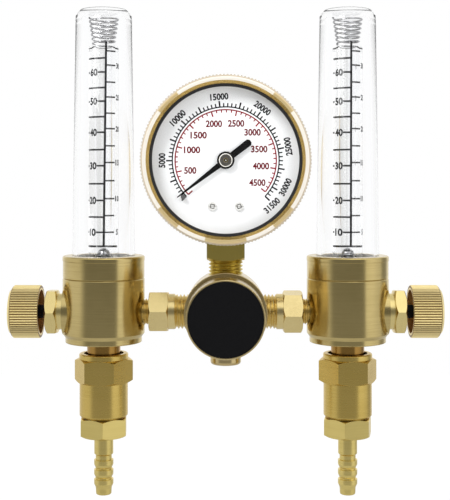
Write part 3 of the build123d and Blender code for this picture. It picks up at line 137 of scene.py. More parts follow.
class Shader:
    """A material's or the world's node tree, with one method for every node."""

    def __init__(self, tree):
        self.tree = tree
        tree.nodes.clear()

    def node(self, kind, settings=None, values=None, output=0):
        """Adds one node: its settings first, then its inputs. A tuple of outputs gives a list."""
        made = self.tree.nodes.new("ShaderNode" + kind)
        for name, value in (settings or {}).items():
            setattr(made, name, value)
        for name, value in (values or {}).items():
            plug(self.tree, made.inputs[name], value)
        if isinstance(output, tuple):
            return [Socket(self.tree, made.outputs[name]) for name in output]
        return Socket(self.tree, made.outputs[output]) if made.outputs else None

    def step(self, value, low, high):
        """0 below low, 1 above high and a smooth ramp between."""
        settings = {"interpolation_type": "SMOOTHSTEP"}
        return self.node("MapRange", settings, {"Value": value, "From Min": low, "From Max": high})

    def band(self, value, rise, fall):
        """1 between a ramp up and a ramp down, and 0 outside them."""
        return self.step(value, *rise) * (1 - self.step(value, *fall))

    def mix(self, factor, first, second):
        """A blend of two colours."""
        return self.node("Mix", {"data_type": "RGBA"}, {0: factor, 6: first, 7: second}, 2)

    def noise(self, scales, detail):
        """Soft random values on coordinates stretched by a factor along each axis."""
        return self.node("TexNoise", None, {"Vector": self.stretched(scales), "Scale": 1.0, "Detail": detail})

    def coordinates(self):
        return self.node("TexCoord", None, None, "Object")

    def place(self):
        """Object coordinates as three numbers."""
        return self.node("SeparateXYZ", None, {"Vector": self.coordinates()}, ("X", "Y", "Z"))

    def reach(self, first, second):
        """Distance from an axis, from the two offsets across it."""
        return (first * first + second * second).math("SQRT")

    def stretched(self, scales):
        """Object coordinates, stretched by a factor along each axis."""
        return self.node("Mapping", None, {"Vector": self.coordinates(), "Scale": scales})


def material(name, values, varying):
    """A Principled material. varying(shader) returns the inputs that change over the surface."""
    made = bpy.data.materials.new(name)
    made.use_nodes = True
    shader = Shader(made.node_tree)
    surface = shader.node("BsdfPrincipled", None, {**values, **varying(shader)})
    shader.node("OutputMaterial", None, {"Surface": surface})
    return made


# Finishes

def brass(name, colour, dark, roughness, grooves, groove_depth, tone_and_light=None):
    """Machined brass: fine turning lines across one axis and slow changes of tone. A hook may add colours of
    its own and painted light, shade and reflections, such as shaded recesses.
    """
    def varying(shader):
        cloudy = shader.noise((90, 90, 90), 4.0)
        lines = shader.noise(grooves, 3.0)
        shade = shader.step(cloudy, 0.3, 0.75) * 0.5 + shader.step(lines, 0.25, 0.75) * 0.5
        tone = shader.mix(shade, colour, dark)
        bump = {"Height": lines, "Strength": 1.0, "Distance": groove_depth}
        inputs = {
            "Base Color": tone,
            "Roughness": roughness + (cloudy - 0.5) * 0.08 + (lines - 0.5) * 0.06,
            "Normal": shader.node("Bump", None, bump),
        }
        # The hook lays its own colours and its painted light and shade over the tone
        if tone_and_light:
            inputs.update(tone_and_light(shader, tone))
        return inputs
    return material(name, {"Metallic": 1.0}, varying)


def clear(name, ior, shading):
    """Clear moulded plastic with the faintest ripple. shading(shader) gives its colour and other inputs."""
    def varying(shader):
        ripple = shader.noise((60, 60, 14), 2.0)
        bump = {"Height": ripple, "Strength": 0.3, "Distance": 0.03 * MM}
        inputs = {"Roughness": ripple * 0.01, "Normal": shader.node("Bump", None, bump)}
        inputs.update(shading(shader))
        return inputs
    return material(name, {"Transmission Weight": 1.0, "IOR": ior}, varying)


def cover_foot(shader):
    """The cover is clear, with a pale rough mirror foot below the collar's top, where the collar hides it:
    painted light that lifts the dark gap between cover and collar.
    """
    x, y, z = shader.place()
    foot = 1 - shader.step(z, BLOCK_TOP - 0.05 * MM, BLOCK_TOP)
    # Painted light: the pale mirror foot brightens the shaded gap inside the collar
    water_clear, pale = (0.995, 0.997, 1.0), (0.95, 0.93, 0.90)
    return {"Base Color": shader.mix(foot, water_clear, pale), "Metallic": foot, "Roughness": foot * 0.6}


def backing_strip(shader):
    """The metering tube is clear, with painted shade: a faint grey tint on the back wall of the left half,
    left of the scale's centre line, so that half reads darker.
    """
    x, y, z = shader.place()
    across = x - x.math("SIGN") * TUBE_X["right"]
    left_half = 1 - shader.step(across, 0.4 * MM, 0.6 * MM)
    back_half = shader.step(y, PORT_Y - 1 * MM, PORT_Y)
    # Painted shade: the grey stands in for the darker look of the tube's left half
    plain, grey = (0.965, 0.97, 0.975), (0.84, 0.84, 0.83)
    return {"Base Color": shader.mix(left_half * back_half, plain, grey)}


def window_film(shader):
    """The gauge's flat window: nearly all let through, with a faint uneven shine."""
    haze = shader.noise((45, 45, 45), 2.0)
    dull, bright = (0.87, 0.87, 0.87), (0.93, 0.93, 0.93)
    return {
        "Base Color": shader.mix(haze, dull, bright),
        "Roughness": 0.02 + haze * 0.02,
        "Alpha": 0.003 + haze * 0.003,
    }


def enamel(name, colour, roughness, grain, specular=0.5):
    """Painted, printed or moulded surface with a fine grain."""
    def varying(shader):
        fine = shader.noise((grain, grain, grain), 3.0)
        paler = tuple(min(1.0, part * 1.06 + 0.004) for part in colour)
        bump = {"Height": fine, "Strength": 0.4, "Distance": 0.02 * MM}
        return {
            "Base Color": shader.mix(fine, colour, paler),
            "Roughness": roughness + (fine - 0.5) * 0.1,
            "Normal": shader.node("Bump", None, bump),
        }
    return material(name, {"Specular IOR Level": specular}, varying)


def neck_tarnish(shader, tone):
    """Painted shade and painted reflection: the outlet neck below the flowmeter body is coloured a darker,
    warmer brass, for the shade under the body and the brass it mirrors.
    """
    x, y, z = shader.place()
    # Painted shade: the neck below the body's foot is darkened and warmed
    neck = 1 - shader.step(z, NECK_TOP - 0.3 * MM, NECK_TOP)
    neck_shade_tone = (0.42, 0.24, 0.06)
    return {"Base Color": shader.mix(neck, tone, neck_shade_tone)}


def knob_tarnish(shader, tone):
    """The flutes are darker at their roots, a painted shade in the grooves, and the inside of the cup is a
    dark orange brass with less shine, painted light that lifts the shaded cup.
    """
    x, y, z = shader.place()
    radius = shader.reach(y - PORT_Y, z)
    flute_root_shade = shader.band(radius, (9.4 * MM, 9.5 * MM), (10.15 * MM, 10.35 * MM))
    bore = 1 - shader.step(radius, 8.7 * MM, 8.8 * MM)
    cup = 1 - shader.step(x.math("ABSOLUTE"), 82.6 * MM, 82.8 * MM)
    inside = bore * cup
    # Painted shade in the flute roots (brown) and painted light in the cup (orange, less metallic)
    brown, orange = (0.24, 0.14, 0.04), (0.55, 0.28, 0.07)
    tone = shader.mix(flute_root_shade, tone, brown)
    tone = shader.mix(inside, tone, orange)
    return {"Base Color": tone, "Metallic": 0.8 - inside * 0.5}


def hub_tarnish(shader, tone):
    """The hub's flange is black and its raised middle is a grey turned metal, with a painted highlight: a
    pale, dull ring at the edge of the raised middle.
    """
    x, y, z = shader.place()
    radius = shader.reach(x - GAUGE_X, z - GAUGE_Z)
    # Painted highlight: the pale ring between the grey middle and the black flange
    edge = shader.step(radius, 2.25 * MM, 2.35 * MM)
    flange = shader.step(radius, 2.6 * MM, 2.65 * MM)
    pale, black = (0.85, 0.83, 0.78), (0.005, 0.005, 0.005)
    tone = shader.mix(edge, tone, pale)
    return {"Base Color": shader.mix(flange, tone, black), "Metallic": 1 - edge * 0.9}


def bezel_tarnish(shader, tone):
    """A pale bezel front with a gold lip inside, a thin brown line outside and gold patches. The pale, mostly
    dull front is the bezel's champagne colour with a painted white reflection, and the gold patches are
    painted reflections.

    The patches lie on the four diagonals, where 2 x z / r^2 nears 1, and at the foot.
    """
    x, y, z = shader.place()
    across, up = x - GAUGE_X, z - GAUGE_Z
    radius = shader.reach(across, up)
    # Painted reflection: gold patches where the bezel mirrors something dark and gold
    diagonal_reflection = shader.step((across * up * 2 / (radius * radius)).math("ABSOLUTE"), 0.945, 0.955)
    foot = shader.step(up * -1 / radius, 0.965, 0.97)
    front = 1 - shader.step(radius, 31.9 * MM, 32.0 * MM)
    reflection_patch = diagonal_reflection.math("MAXIMUM", foot) * front
    lip = 1 - shader.step(radius, 30.45 * MM, 30.6 * MM)
    line = shader.band(radius, (31.95 * MM, 32.05 * MM), (32.3 * MM, 32.4 * MM))
    grip = shader.step(radius, 32.5 * MM, 32.7 * MM)
    gold, brown = (0.62, 0.45, 0.16), (0.45, 0.32, 0.18)
    grip_tone, lip_tone = (0.52, 0.45, 0.33), (0.74, 0.52, 0.17)
    tone = shader.mix(reflection_patch * 0.8, tone, gold)
    tone = shader.mix(line * 0.8, tone, brown)
    tone = shader.mix(grip, tone, grip_tone)
    tone = shader.mix(lip, tone, lip_tone)
    return {"Base Color": tone, "Metallic": lip * 0.6 + reflection_patch * 0.3 + 0.2}


def steel_facets(shader, tone):
    """Painted reflection: patches of dark and bright steel, as the thick tube breaks up what the float
    mirrors.
    """
    patches = shader.step(shader.noise((900, 900, 1400), 1.0), 0.44, 0.56)
    dark = (0.06, 0.06, 0.06)
    return {"Base Color": shader.mix(patches, dark, tone), "Metallic": 0.5}


# How closely the turning lines lie along each axis
ALL_WAYS = (900, 900, 900)
ROUND_Z = (40, 40, 2000)
ROUND_X = (2000, 40, 40)
ROUND_Y = (40, 2000, 40)
BLOCK = brass("satin_block_brass", (0.69, 0.55, 0.24), (0.56, 0.44, 0.18), 0.2, ROUND_Z, 1e-6, neck_tarnish)
FITTING = brass("bright_fitting_brass", (0.86, 0.70, 0.33), (0.80, 0.64, 0.29), 0.26, ALL_WAYS, 1e-6)
TURNED_X = brass("bright_turned_brass", (0.88, 0.72, 0.32), (0.80, 0.65, 0.27), 0.28, ROUND_X, 1e-6)
BODY = brass("regulator_brass", (0.68, 0.54, 0.27), (0.62, 0.49, 0.24), 0.22, ROUND_Y, 2e-6)
COUPLER = brass("olive_coupler_brass", (0.74, 0.54, 0.16), (0.66, 0.48, 0.13), 0.27, ROUND_Z, 1e-6)
BARB = brass("barb_brass", (0.87, 0.70, 0.25), (0.78, 0.62, 0.21), 0.3, ROUND_Z, 1e-6)
KNOB = brass("matte_knob_brass", (1.0, 0.84, 0.42), (0.94, 0.78, 0.37), 0.42, ALL_WAYS, 3e-6, knob_tarnish)
SOCKET = brass("gauge_socket_brass", (0.68, 0.54, 0.14), (0.62, 0.49, 0.12), 0.25, ROUND_Z, 1e-6)
BEZEL = brass("champagne_bezel", (0.74, 0.70, 0.62), (0.74, 0.70, 0.62), 0.2, ROUND_Y, 1e-6, bezel_tarnish)
CASE = brass("champagne_case", (0.90, 0.80, 0.60), (0.86, 0.74, 0.52), 0.25, ROUND_Y, 1e-6)
BRONZE = brass("dull_bronze", (0.42, 0.29, 0.16), (0.36, 0.25, 0.14), 0.5, ALL_WAYS, 2e-5)
STEEL = brass("plain_steel", (0.62, 0.62, 0.62), (0.55, 0.55, 0.56), 0.25, ALL_WAYS, 2e-6)
WIRE = brass("spring_wire", (0.42, 0.42, 0.43), (0.34, 0.34, 0.35), 0.3, ALL_WAYS, 2e-6)
BALL = brass("polished_ball", (0.52, 0.52, 0.53), (0.40, 0.40, 0.41), 0.15, ALL_WAYS, 5e-7, steel_facets)
HUB = brass("grey_hub_metal", (0.42, 0.39, 0.35), (0.34, 0.32, 0.28), 0.3, ALL_WAYS, 2e-6, hub_tarnish)
COVER = clear("clear_cover", 1.28, cover_foot)
TUBE = clear("clear_metering_tube", 1.4, backing_strip)
LABEL = enamel("matte_black_label", (0.0015, 0.0015, 0.002), 0.6, 2600, 0.1)
RUBBER = enamel("black_rubber", (0.012, 0.012, 0.014), 0.6, 2600)
DIAL = enamel("white_dial", (0.82, 0.83, 0.84), 0.4, 1500)
PALE_NICKEL = enamel("pale_screw_nickel", (0.62, 0.62, 0.60), 0.3, 2600)
RECESS_SHADE = enamel("painted_recess_shade", (0.03, 0.028, 0.025), 0.5, 2600)
BLACK_INK = enamel("black_ink", (0.006, 0.006, 0.008), 0.6, 3000, 0.1)
RED_INK = enamel("red_ink", (0.24, 0.004, 0.014), 0.6, 3000, 0.1)
DEEP_RED_INK = enamel("deep_red_ink", (0.13, 0.008, 0.014), 0.6, 3000, 0.1)
BLACK_ENAMEL = enamel("black_pointer_enamel", (0.003, 0.003, 0.003), 0.4, 2600, 0.15)
WINDOW = material("clear_window", {"Metallic": 1.0}, window_film)


# Pieces

def finish_mesh(name, mesh, finish, body, node=None, bevel=0.0, sharp=32):
    """A piece with its finish, riding on a body: smooth between sharp edges, which get a small round."""
    piece = bpy.data.objects.new(name, mesh)
    bpy.context.scene.collection.objects.link(piece)
    mesh.materials.clear()
    mesh.materials.append(finish)
    mesh.shade_smooth()
    mesh.set_sharp_from_angle(angle=math.radians(sharp))
    if bevel:
        edge = piece.modifiers.new("edges", "BEVEL")
        edge.width = bevel
        edge.segments = 2
        edge.limit_method = "ANGLE"
        edge.angle_limit = math.radians(sharp)
        weigh = piece.modifiers.new("flat_faces", "WEIGHTED_NORMAL")
        weigh.keep_sharp = True
    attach(piece, body)
    if node:
        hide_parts(node)


class Thread:
    """A stretch of screw thread: its axis, a point on it, its ends along it, crest radius and pitch."""

    DEPTH_SHARE, FADE_SHARE = 0.6, 0.4

    def __init__(self, axis, through, start, end, radius, pitch):
        self.axis = axis
        self.others = [number for number in range(3) if number != axis]
        self.through = np.array(through, float)
        self.radius = radius
        self.start, self.end = start, end
        self.pitch = pitch
        self.depth = pitch * self.DEPTH_SHARE

    def turns(self, segments=96, rows_a_turn=14):
        """Points on a grid: radius = crest - depth (1 - cos(tau h / pitch - t)) / 2 at angle t and place h.

        The depth fades to nothing at both ends, where an inset leaves room for the bridge.
        """
        inset = 0.04 * MM
        rows = int((self.end - self.start) / self.pitch * rows_a_turn) + 2
        along = np.linspace(self.start + inset, self.end - inset, rows)[:, None]
        turn = np.linspace(0, math.tau, segments, endpoint=False)[None, :]
        to_end = np.minimum(along - along[0], along[-1] - along)
        fade = np.clip(to_end / (self.pitch * self.FADE_SHARE), 0, 1)
        radius = self.radius - self.depth * fade * (1 - np.cos(math.tau * along / self.pitch - turn)) / 2
        points = np.empty((rows, segments, 3))
        points[..., self.axis] = along
        points[..., self.others[0]] = radius * np.cos(turn) + self.through[self.others[0]]
        points[..., self.others[1]] = radius * np.sin(turn) + self.through[self.others[1]]
        return points

    def plain_faces(self, made):
        """The faces of the plain cylinder that the turns take the place of."""
        made.verts.index_update()
        places = np.array([vert.co for vert in made.verts])
        along = places[:, self.axis]
        radius = np.linalg.norm((places - self.through)[:, self.others], axis=1)
        near, wide = 0.001 * MM, 0.02 * MM
        on_it = (along > self.start - near) & (along < self.end + near)
        on_it &= np.abs(radius - self.radius) < wide
        return [face for face in made.faces if all(on_it[vert.index] for vert in face.verts)]

    def cut(self, made):
        """Cuts the plain stretch out of a mesh and bridges the turns into the gap."""
        normal = [float(number == self.axis) for number in range(3)]
        for place in (self.start, self.end):
            spot = self.through.copy()
            spot[self.axis] = place
            parts = made.verts[:] + made.edges[:] + made.faces[:]
            bmesh.ops.bisect_plane(made, geom=parts, dist=0.0005 * MM, plane_co=spot, plane_no=normal)
        bmesh.ops.delete(made, geom=self.plain_faces(made), context="FACES")
        made.from_mesh(grid_mesh("turns", self.turns()))
        for place in (self.start, self.end):
            open_edges = [edge for edge in made.edges if edge.is_boundary]
            rims = [edge for edge in open_edges if abs(edge.verts[0].co[self.axis] - place) < 0.1 * MM]
            bmesh.ops.bridge_loops(made, edges=rims)


def dress(node, finish, bevel, threads):
    """A merged copy of a node's solid, with flat faces joined, its threads cut and its edges rounded."""
    made = bmesh.new()
    made.from_mesh(frame["nodes"][node].data)
    bmesh.ops.remove_doubles(made, verts=made.verts, dist=0.001 * MM)
    edges, verts = list(made.edges), list(made.verts)
    bmesh.ops.dissolve_limit(made, angle_limit=math.radians(0.3), verts=verts, edges=edges)
    for thread in threads:
        thread.cut(made)
    if threads:
        bmesh.ops.recalc_face_normals(made, faces=made.faces)
    mesh = bpy.data.meshes.new(node + "_dressed")
    made.to_mesh(mesh)
    made.free()
    finish_mesh(node + "_dressed", mesh, finish, BODY_OF[node], node, bevel)


def grid_mesh(name, points, closed_round=True):
    """A mesh from a rows x columns x 3 array of points. Closed round, its last column joins the first."""
    rows, columns = points.shape[:2]
    index = np.arange(rows * columns).reshape(rows, columns)
    if closed_round:
        index = np.concatenate([index, index[:, :1]], axis=1)
    quads = np.stack([index[:-1, :-1], index[:-1, 1:], index[1:, 1:], index[1:, :-1]], axis=-1)
    mesh = bpy.data.meshes.new(name)
    mesh.from_pydata(points.reshape(-1, 3).tolist(), [], quads.reshape(-1, 4).tolist())
    made = bmesh.new()
    made.from_mesh(mesh)
    bmesh.ops.remove_doubles(made, verts=made.verts, dist=0.0005 * MM)
    bmesh.ops.recalc_face_normals(made, faces=made.faces)
    made.to_mesh(mesh)
    made.free()
    return mesh


def rounded(corners, steps=6):
    """Profile points from (radius, height, rounding) corners, with an arc at each rounded one."""
    spots = np.array([corner[:2] for corner in corners], float)
    radii = [corner[2] if len(corner) > 2 else 0 for corner in corners]
    points = []
    for number, (spot, radius) in enumerate(zip(spots, radii)):
        if not radius:
            points.append(spot)
            continue
        before = spots[number - 1] - spot
        after = spots[(number + 1) % len(spots)] - spot
        before /= np.linalg.norm(before)
        after /= np.linalg.norm(after)
        half = math.acos(np.clip(before @ after, -1, 1)) / 2
        reach = radius / math.tan(half)
        middle_way = (before + after) / np.linalg.norm(before + after)
        centre = spot + middle_way * radius / math.sin(half)
        start, end = spot + before * reach - centre, spot + after * reach - centre
        share = np.linspace(0, 1, steps)[:, None]
        arc = start * (1 - share) + end * share
        arc *= radius / np.linalg.norm(arc, axis=1)[:, None]
        points.extend(arc + centre)
    return np.array(points)


def lathe(corners, segments, axis):
    """Points of a profile turned about an upright axis: (r cos t, r sin t, h) for every angle t."""
    profile = rounded([*corners, corners[0]])
    turn = np.linspace(0, math.tau, segments, endpoint=False)
    radius, height = profile[:, :1], profile[:, 1:]
    return np.stack([radius * np.cos(turn), radius * np.sin(turn), height + 0 * turn], axis=-1) + axis


# Flow tubes

def clear_cover(side, axis):
    """The tapered outer cover: the outline of its wall, turned about the tube's axis."""
    low, top = span(f"{side}_tube_cover", 2)
    wall, flange_height, shoulder = 1.8 * MM, 2.4 * MM, top - 2.7 * MM
    base_r, top_r, flange_r = 12.45 * MM, 11.2 * MM, 13.0 * MM
    crown_r, inner_crown_r = 9.2 * MM, 8.2 * MM
    corners = [
        (base_r - wall, low), (flange_r, low), (flange_r, low + flange_height), (base_r, low + flange_height),
        (base_r, BLOCK_TOP), (top_r, shoulder, 0.8 * MM), (crown_r, top, 1.5 * MM), (0, top),
        (0, top - wall), (inner_crown_r, top - wall, 0.8 * MM), (top_r - wall, shoulder - wall),
        (base_r - wall, BLOCK_TOP),
    ]
    mesh = grid_mesh(f"{side}_cover_mesh", lathe(corners, 160, axis))
    finish_mesh(f"{side}_clear_cover", mesh, COVER, "root", f"{side}_tube_cover", sharp=40)


def metering_tube(side, axis):
    """The thick inner tube: a wall that thins towards the top, over a seat with a gas hole."""
    foot, head = span(f"{side}_metering_tube", 2)
    seat = span(f"{side}_float_ball", 2)[0] + 0.3 * MM
    hole_r, seat_r, mouth_r, chamfer = 1.4 * MM, 2.75 * MM, 3.3 * MM, 0.3 * MM
    corners = [
        (hole_r, foot), (TUBE_R, foot), (TUBE_R, head - chamfer), (TUBE_R - chamfer, head),
        (mouth_r, head), (seat_r, seat), (hole_r, seat),
    ]
    mesh = grid_mesh(f"{side}_tube_mesh", lathe(corners, 96, axis))
    finish_mesh(f"{side}_clear_tube", mesh, TUBE, "root", f"{side}_metering_tube", sharp=40)


def wound_spring(side, axis):
    """A conical spring of round wire, whose turns widen as they rise.

    At share s along it and angle u round the wire, the point is ((R + w cos u) cos t,
    (R + w cos u) sin t, h + w sin u), where R, t and h grow evenly with s.
    """
    low, high = span(f"{side}_tube_spring", 2)
    wire, turns, foot_r, head_r = 0.35 * MM, 6.5, 4.2 * MM, 5.9 * MM
    share = np.linspace(0, 1, 320)
    turn = share * math.tau * turns
    radius = foot_r + (head_r - foot_r) * share
    height = low + wire + (high - low - 2 * wire) * share
    round_wire = np.linspace(0, math.tau, 10, endpoint=False)
    out = radius[:, None] + wire * np.cos(round_wire)
    up = height[:, None] + wire * np.sin(round_wire)
    points = np.stack([out * np.cos(turn)[:, None], out * np.sin(turn)[:, None], up], axis=-1)
    mesh = grid_mesh(f"{side}_spring_mesh", points + axis)
    finish_mesh(f"{side}_wound_spring", mesh, WIRE, "root", f"{side}_tube_spring", sharp=60)


# Printed marks

def text_points(words, height, digit_width, weight):
    """Vertices and faces of flat plain figures, centred on the origin. Weight thickens their strokes."""
    curve = bpy.data.curves.new("figures", "FONT")
    curve.body = words
    curve.align_x, curve.align_y = "CENTER", "CENTER"
    curve.resolution_u = 3
    curve.offset = weight
    holder = bpy.data.objects.new("figures", curve)
    bpy.context.scene.collection.objects.link(holder)
    bpy.context.view_layer.update()
    mesh = bpy.data.meshes.new_from_object(holder.evaluated_get(bpy.context.evaluated_depsgraph_get()))
    points = np.empty(len(mesh.vertices) * 3)
    mesh.vertices.foreach_get("co", points)
    points = points.reshape(-1, 3)[:, :2]
    faces = [tuple(face.vertices) for face in mesh.polygons]
    bpy.data.objects.remove(holder)
    bpy.data.meshes.remove(mesh)
    bpy.data.curves.remove(curve)
    low, high = points.min(0), points.max(0)
    points = (points - (low + high) / 2) / (high - low)
    return points * np.array([digit_width * len(words), height]), faces


class Print:
    """Collects flat marks and figures that share one ink, then makes them one mesh."""

    def __init__(self):
        self.points = []
        self.faces = []
        self.count = 0

    def add(self, points, faces):
        self.points.append(points)
        self.faces += [tuple(number + self.count for number in face) for face in faces]
        self.count += len(points)

    def bar(self, first, last, width):
        """A straight bar between two points of the plane."""
        first, last = np.array(first, float), np.array(last, float)
        way = (last - first) / np.linalg.norm(last - first)
        side = np.array([-way[1], way[0]]) * width / 2
        self.add(np.array([first - side, last - side, last + side, first + side]), [(0, 1, 2, 3)])

    def arc(self, radius, start, end, width, steps=120):
        """A ring segment between two angles in degrees."""
        turn = np.radians(np.linspace(start, end, steps))
        rim = np.stack([np.cos(turn), np.sin(turn)], axis=-1)
        points = np.concatenate([rim * (radius - width / 2), rim * (radius + width / 2)])
        faces = [(n, n + 1, steps + n + 1, steps + n) for n in range(steps - 1)]
        self.add(points, faces)

    def figures(self, number, place, height, turn, digit_width, weight):
        """A plain number at a place, turned by an angle in degrees."""
        points, faces = text_points(str(number), height, digit_width, weight)
        angle = math.radians(turn)
        spin = np.array([[math.cos(angle), math.sin(angle)], [-math.sin(angle), math.cos(angle)]])
        self.add(points @ spin + np.array(place), faces)

    def mesh(self, name, lay):
        """The marks as a mesh, laid on a surface by a function of plane points."""
        made = bpy.data.meshes.new(name)
        made.from_pydata(lay(np.concatenate(self.points)).tolist(), [], self.faces)
        return made


def polar(radius, degrees):
    """A point of the plane at a distance and angle from the origin."""
    return radius * math.cos(math.radians(degrees)), radius * math.sin(math.radians(degrees))


def dial_print():
    """Two round scales: an outer black one to 31500 and an inner red one to 4500. Angles are in degrees."""
    zero, full = 222.5, -42.5
    black_full, red_full, black_to_red = 31500, 4500, 6.8948
    black_r, red_r, shift = 20.8 * MM, 19.7 * MM, np.array([0.3, 0.8]) * MM
    per_black = (zero - full) / black_full
    per_red = per_black * black_to_red
    black, red, deep_red = Print(), Print(), Print()
    black.arc(black_r, zero, full, 0.5 * MM)
    for value in range(0, black_full + 1, 500):
        long = value % 2500 == 0 or value == black_full
        angle = zero - value * per_black
        reach = black_r + (2.4 if long else 1.5) * MM
        black.bar(polar(black_r, angle), polar(reach, angle), (0.62 if long else 0.5) * MM)
    red.arc(red_r, zero, zero - red_full * per_red, 0.5 * MM)
    for value in range(0, red_full + 1, 100):
        long = value % 500 == 0
        angle = zero - value * per_red
        reach = red_r - (2.1 if long else 1.1) * MM
        red.bar(polar(red_r, angle), polar(reach, angle), (0.55 if long else 0.46) * MM)
    # Each outer number's distance in millimetres, its angle and how far it is turned
    outer = {
        5000: (25.1, 182, 90), 10000: (24.6, 140.3, 45), 15000: (24.1, 96.7, 4.5), 20000: (24.0, 54.3, -36),
        25000: (24.4, 10.8, 99), 30000: (25.5, -26.1, 63), 31500: (25.5, -46.1, 42.6),
    }
    for value, (ring, angle, turn) in outer.items():
        black.figures(value, shift + polar(ring * MM, angle), 2.65 * MM, turn, 1.42 * MM, 0.035)
    # Each inner number's place in millimetres from the centre
    inner = {
        500: (-14.1, -4.75), 1000: (-13.4, 3.25), 1500: (-10.85, 8.97), 2000: (-4.9, 13.4),
        2500: (3.75, 13.55), 3000: (10.15, 10.1), 3500: (12.75, 3.55), 4000: (13.4, -3.05),
        4500: (12.0, -9.5),
    }
    for value, place in inner.items():
        deep_red.figures(value, shift + np.array(place) * MM, 2.75 * MM, 0, 1.6 * MM, 0.035)
    on_dial = flat_lay(DIAL_FACE - 0.03 * MM)
    finish_mesh("dial_black_scale", black.mesh("dial_black", on_dial), BLACK_INK, "root")
    finish_mesh("dial_red_scale", red.mesh("dial_red", on_dial), RED_INK, "root")
    finish_mesh("dial_red_figures", deep_red.mesh("red_figures", on_dial), DEEP_RED_INK, "root")


def flat_lay(depth):
    """Lays plane points round the gauge's axis on a flat face that looks at the viewer."""
    def lay(points):
        x, z = points[:, 0] + GAUGE_X, points[:, 1] + GAUGE_Z
        return np.stack([x, np.full(len(points), depth), z], axis=-1)
    return lay


def small_marks():
    """The square recesses of the dial's screws, drawn as dark outlines of painted shade, and the centre mark
    of the pointer's hub.
    """
    low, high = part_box("dial_screws")
    # The gauge's axis stands at x = 0, so only the height has to be counted from it
    head_r, height = 1.7 * MM, (low[2] + high[2]) / 2 - GAUGE_Z
    # Painted shade: each screw's square slot is drawn as a dark outline
    recess = Print()
    for x, turn in ((low[0] + head_r, 35), (high[0] - head_r, -25)):
        centre = np.array([x, height])
        corners = [centre + polar(1.05 * MM, turn + 90 * quarter) for quarter in range(5)]
        for first, last in zip(corners, corners[1:]):
            recess.bar(first, last, 0.3 * MM)
    on_screws = flat_lay(low[1] - 0.02 * MM)
    finish_mesh("dial_screw_recesses", recess.mesh("recesses", on_screws), RECESS_SHADE, "root")
    ring, dot = Print(), Print()
    ring.arc(0.4 * MM, 0, 360, 0.4 * MM, 24)
    dot.arc(0.1 * MM, 0, 360, 0.2 * MM, 24)
    on_hub = flat_lay(span("pointer_hub", 1)[0] - 0.02 * MM)
    finish_mesh("hub_centre_ring", ring.mesh("hub_ring", on_hub), BLACK_INK, "pointer")
    finish_mesh("hub_centre_dot", dot.mesh("hub_dot", on_hub), PALE_NICKEL, "pointer")


# Heights of the flow scale's ticks in millimetres, left and right of its centre line.
# They close up towards the top, where the tube's bore widens. LEAN is each scale's slant.
LEFT_MARKS = (31.9, 37.9, 44.5, 51.1, 58.2, 64.6, 71.4, 77.6, 83.7, 89.1, 95.2, 100.8)
RIGHT_MARKS = (31.9, 38.5, 45.2, 52.3, 59.5, 66.1, 72.9, 79.0, 85.4, 91.3, 98.0, 103.6)
LEAN = {"left": 0.0117, "right": 0.002}


def tube_print(side):
    """The scale on the metering tube: a centre line, ticks both ways and plain figures."""
    ink = Print()
    line_x, foot, head = 0.6 * MM, 26.2 * MM, 107.4 * MM
    left_edge, right_edge = -8.1 * MM, 6.9 * MM
    left_figure, right_figure = -4.4 * MM, 6.7 * MM
    left_tick, right_tick, weight = 0.7 * MM, 0.62 * MM, 0.04
    ink.bar((line_x, foot), (line_x, head), 0.85 * MM)
    ink.bar((left_edge, foot), (right_edge, foot), 0.8 * MM)
    for number, mark in enumerate(LEFT_MARKS):
        height, numbered = mark * MM, number % 2 == 0
        start = (-2.5 if numbered else -8.0) * MM
        ink.bar((start, height), (line_x, height), left_tick)
        if numbered:
            ink.figures(10 + 5 * number, (left_figure, height), 3.0 * MM, 0, 1.8 * MM, weight)
            ink.bar((left_edge, height), (-6.8 * MM, height), left_tick)
    for number, mark in enumerate(RIGHT_MARKS):
        height, numbered = mark * MM, number % 2 == 0
        ink.bar((line_x, height), (4.9 * MM, height), right_tick)
        if numbered:
            ink.figures(5 + number * 5 // 2, (right_figure, height), 2.3 * MM, 0, 1.4 * MM, weight)

    def lay(points):
        """Wraps plane points round the tube, where x becomes the angle x / radius."""
        wrap = (points[:, 0] + LEAN[side] * (points[:, 1] - foot)) / TUBE_R
        radius = TUBE_R + 0.04 * MM
        out = np.stack([np.sin(wrap) * radius, -np.cos(wrap) * radius, points[:, 1]], axis=-1)
        return out + np.array([TUBE_X[side], PORT_Y, 0])

    finish_mesh(f"{side}_tube_scale", ink.mesh(f"{side}_scale", lay), BLACK_INK, "root")


# Dressed solids

# The finish of each piece of a flowmeter, and of each piece between the two
FINISHES = {
    "flow_body": BLOCK, "tube_collar": BLOCK, "cover_seal": RUBBER, "float_ball": BALL,
    "valve_bonnet": TURNED_X, "stem_packing": RUBBER, "valve_stem": BLACK_ENAMEL, "knob": KNOB,
    "knob_screw": STEEL, "hex_nipple": FITTING, "outlet_coupler": COUPLER, "outlet_seal": RUBBER,
    "hose_barb": BARB,
}
CENTRE_FINISHES = {
    "regulator_body": BODY, "bonnet_cap": BODY, "label_disc": LABEL, "piston": FITTING,
    "piston_seal": RUBBER, "piston_seat": RUBBER, "range_spring": STEEL, "nozzle": FITTING,
    "bottom_plug": BODY, "inlet_nipple": FITTING, "inlet_filter": BRONZE, "inlet_nut": FITTING,
    "gauge_case": CASE, "gauge_socket": SOCKET, "gauge_bezel": BEZEL, "window_gasket": RUBBER,
    "gauge_window": WINDOW, "gauge_dial": DIAL, "dial_screws": PALE_NICKEL, "stop_pin": STEEL,
    "pointer": BLACK_ENAMEL, "pointer_hub": HUB, "pinion": FITTING, "sector_gear": FITTING,
    "sector_link": STEEL, "bourdon_tube": BRONZE, "movement_frame": FITTING, "movement_screws": STEEL,
}
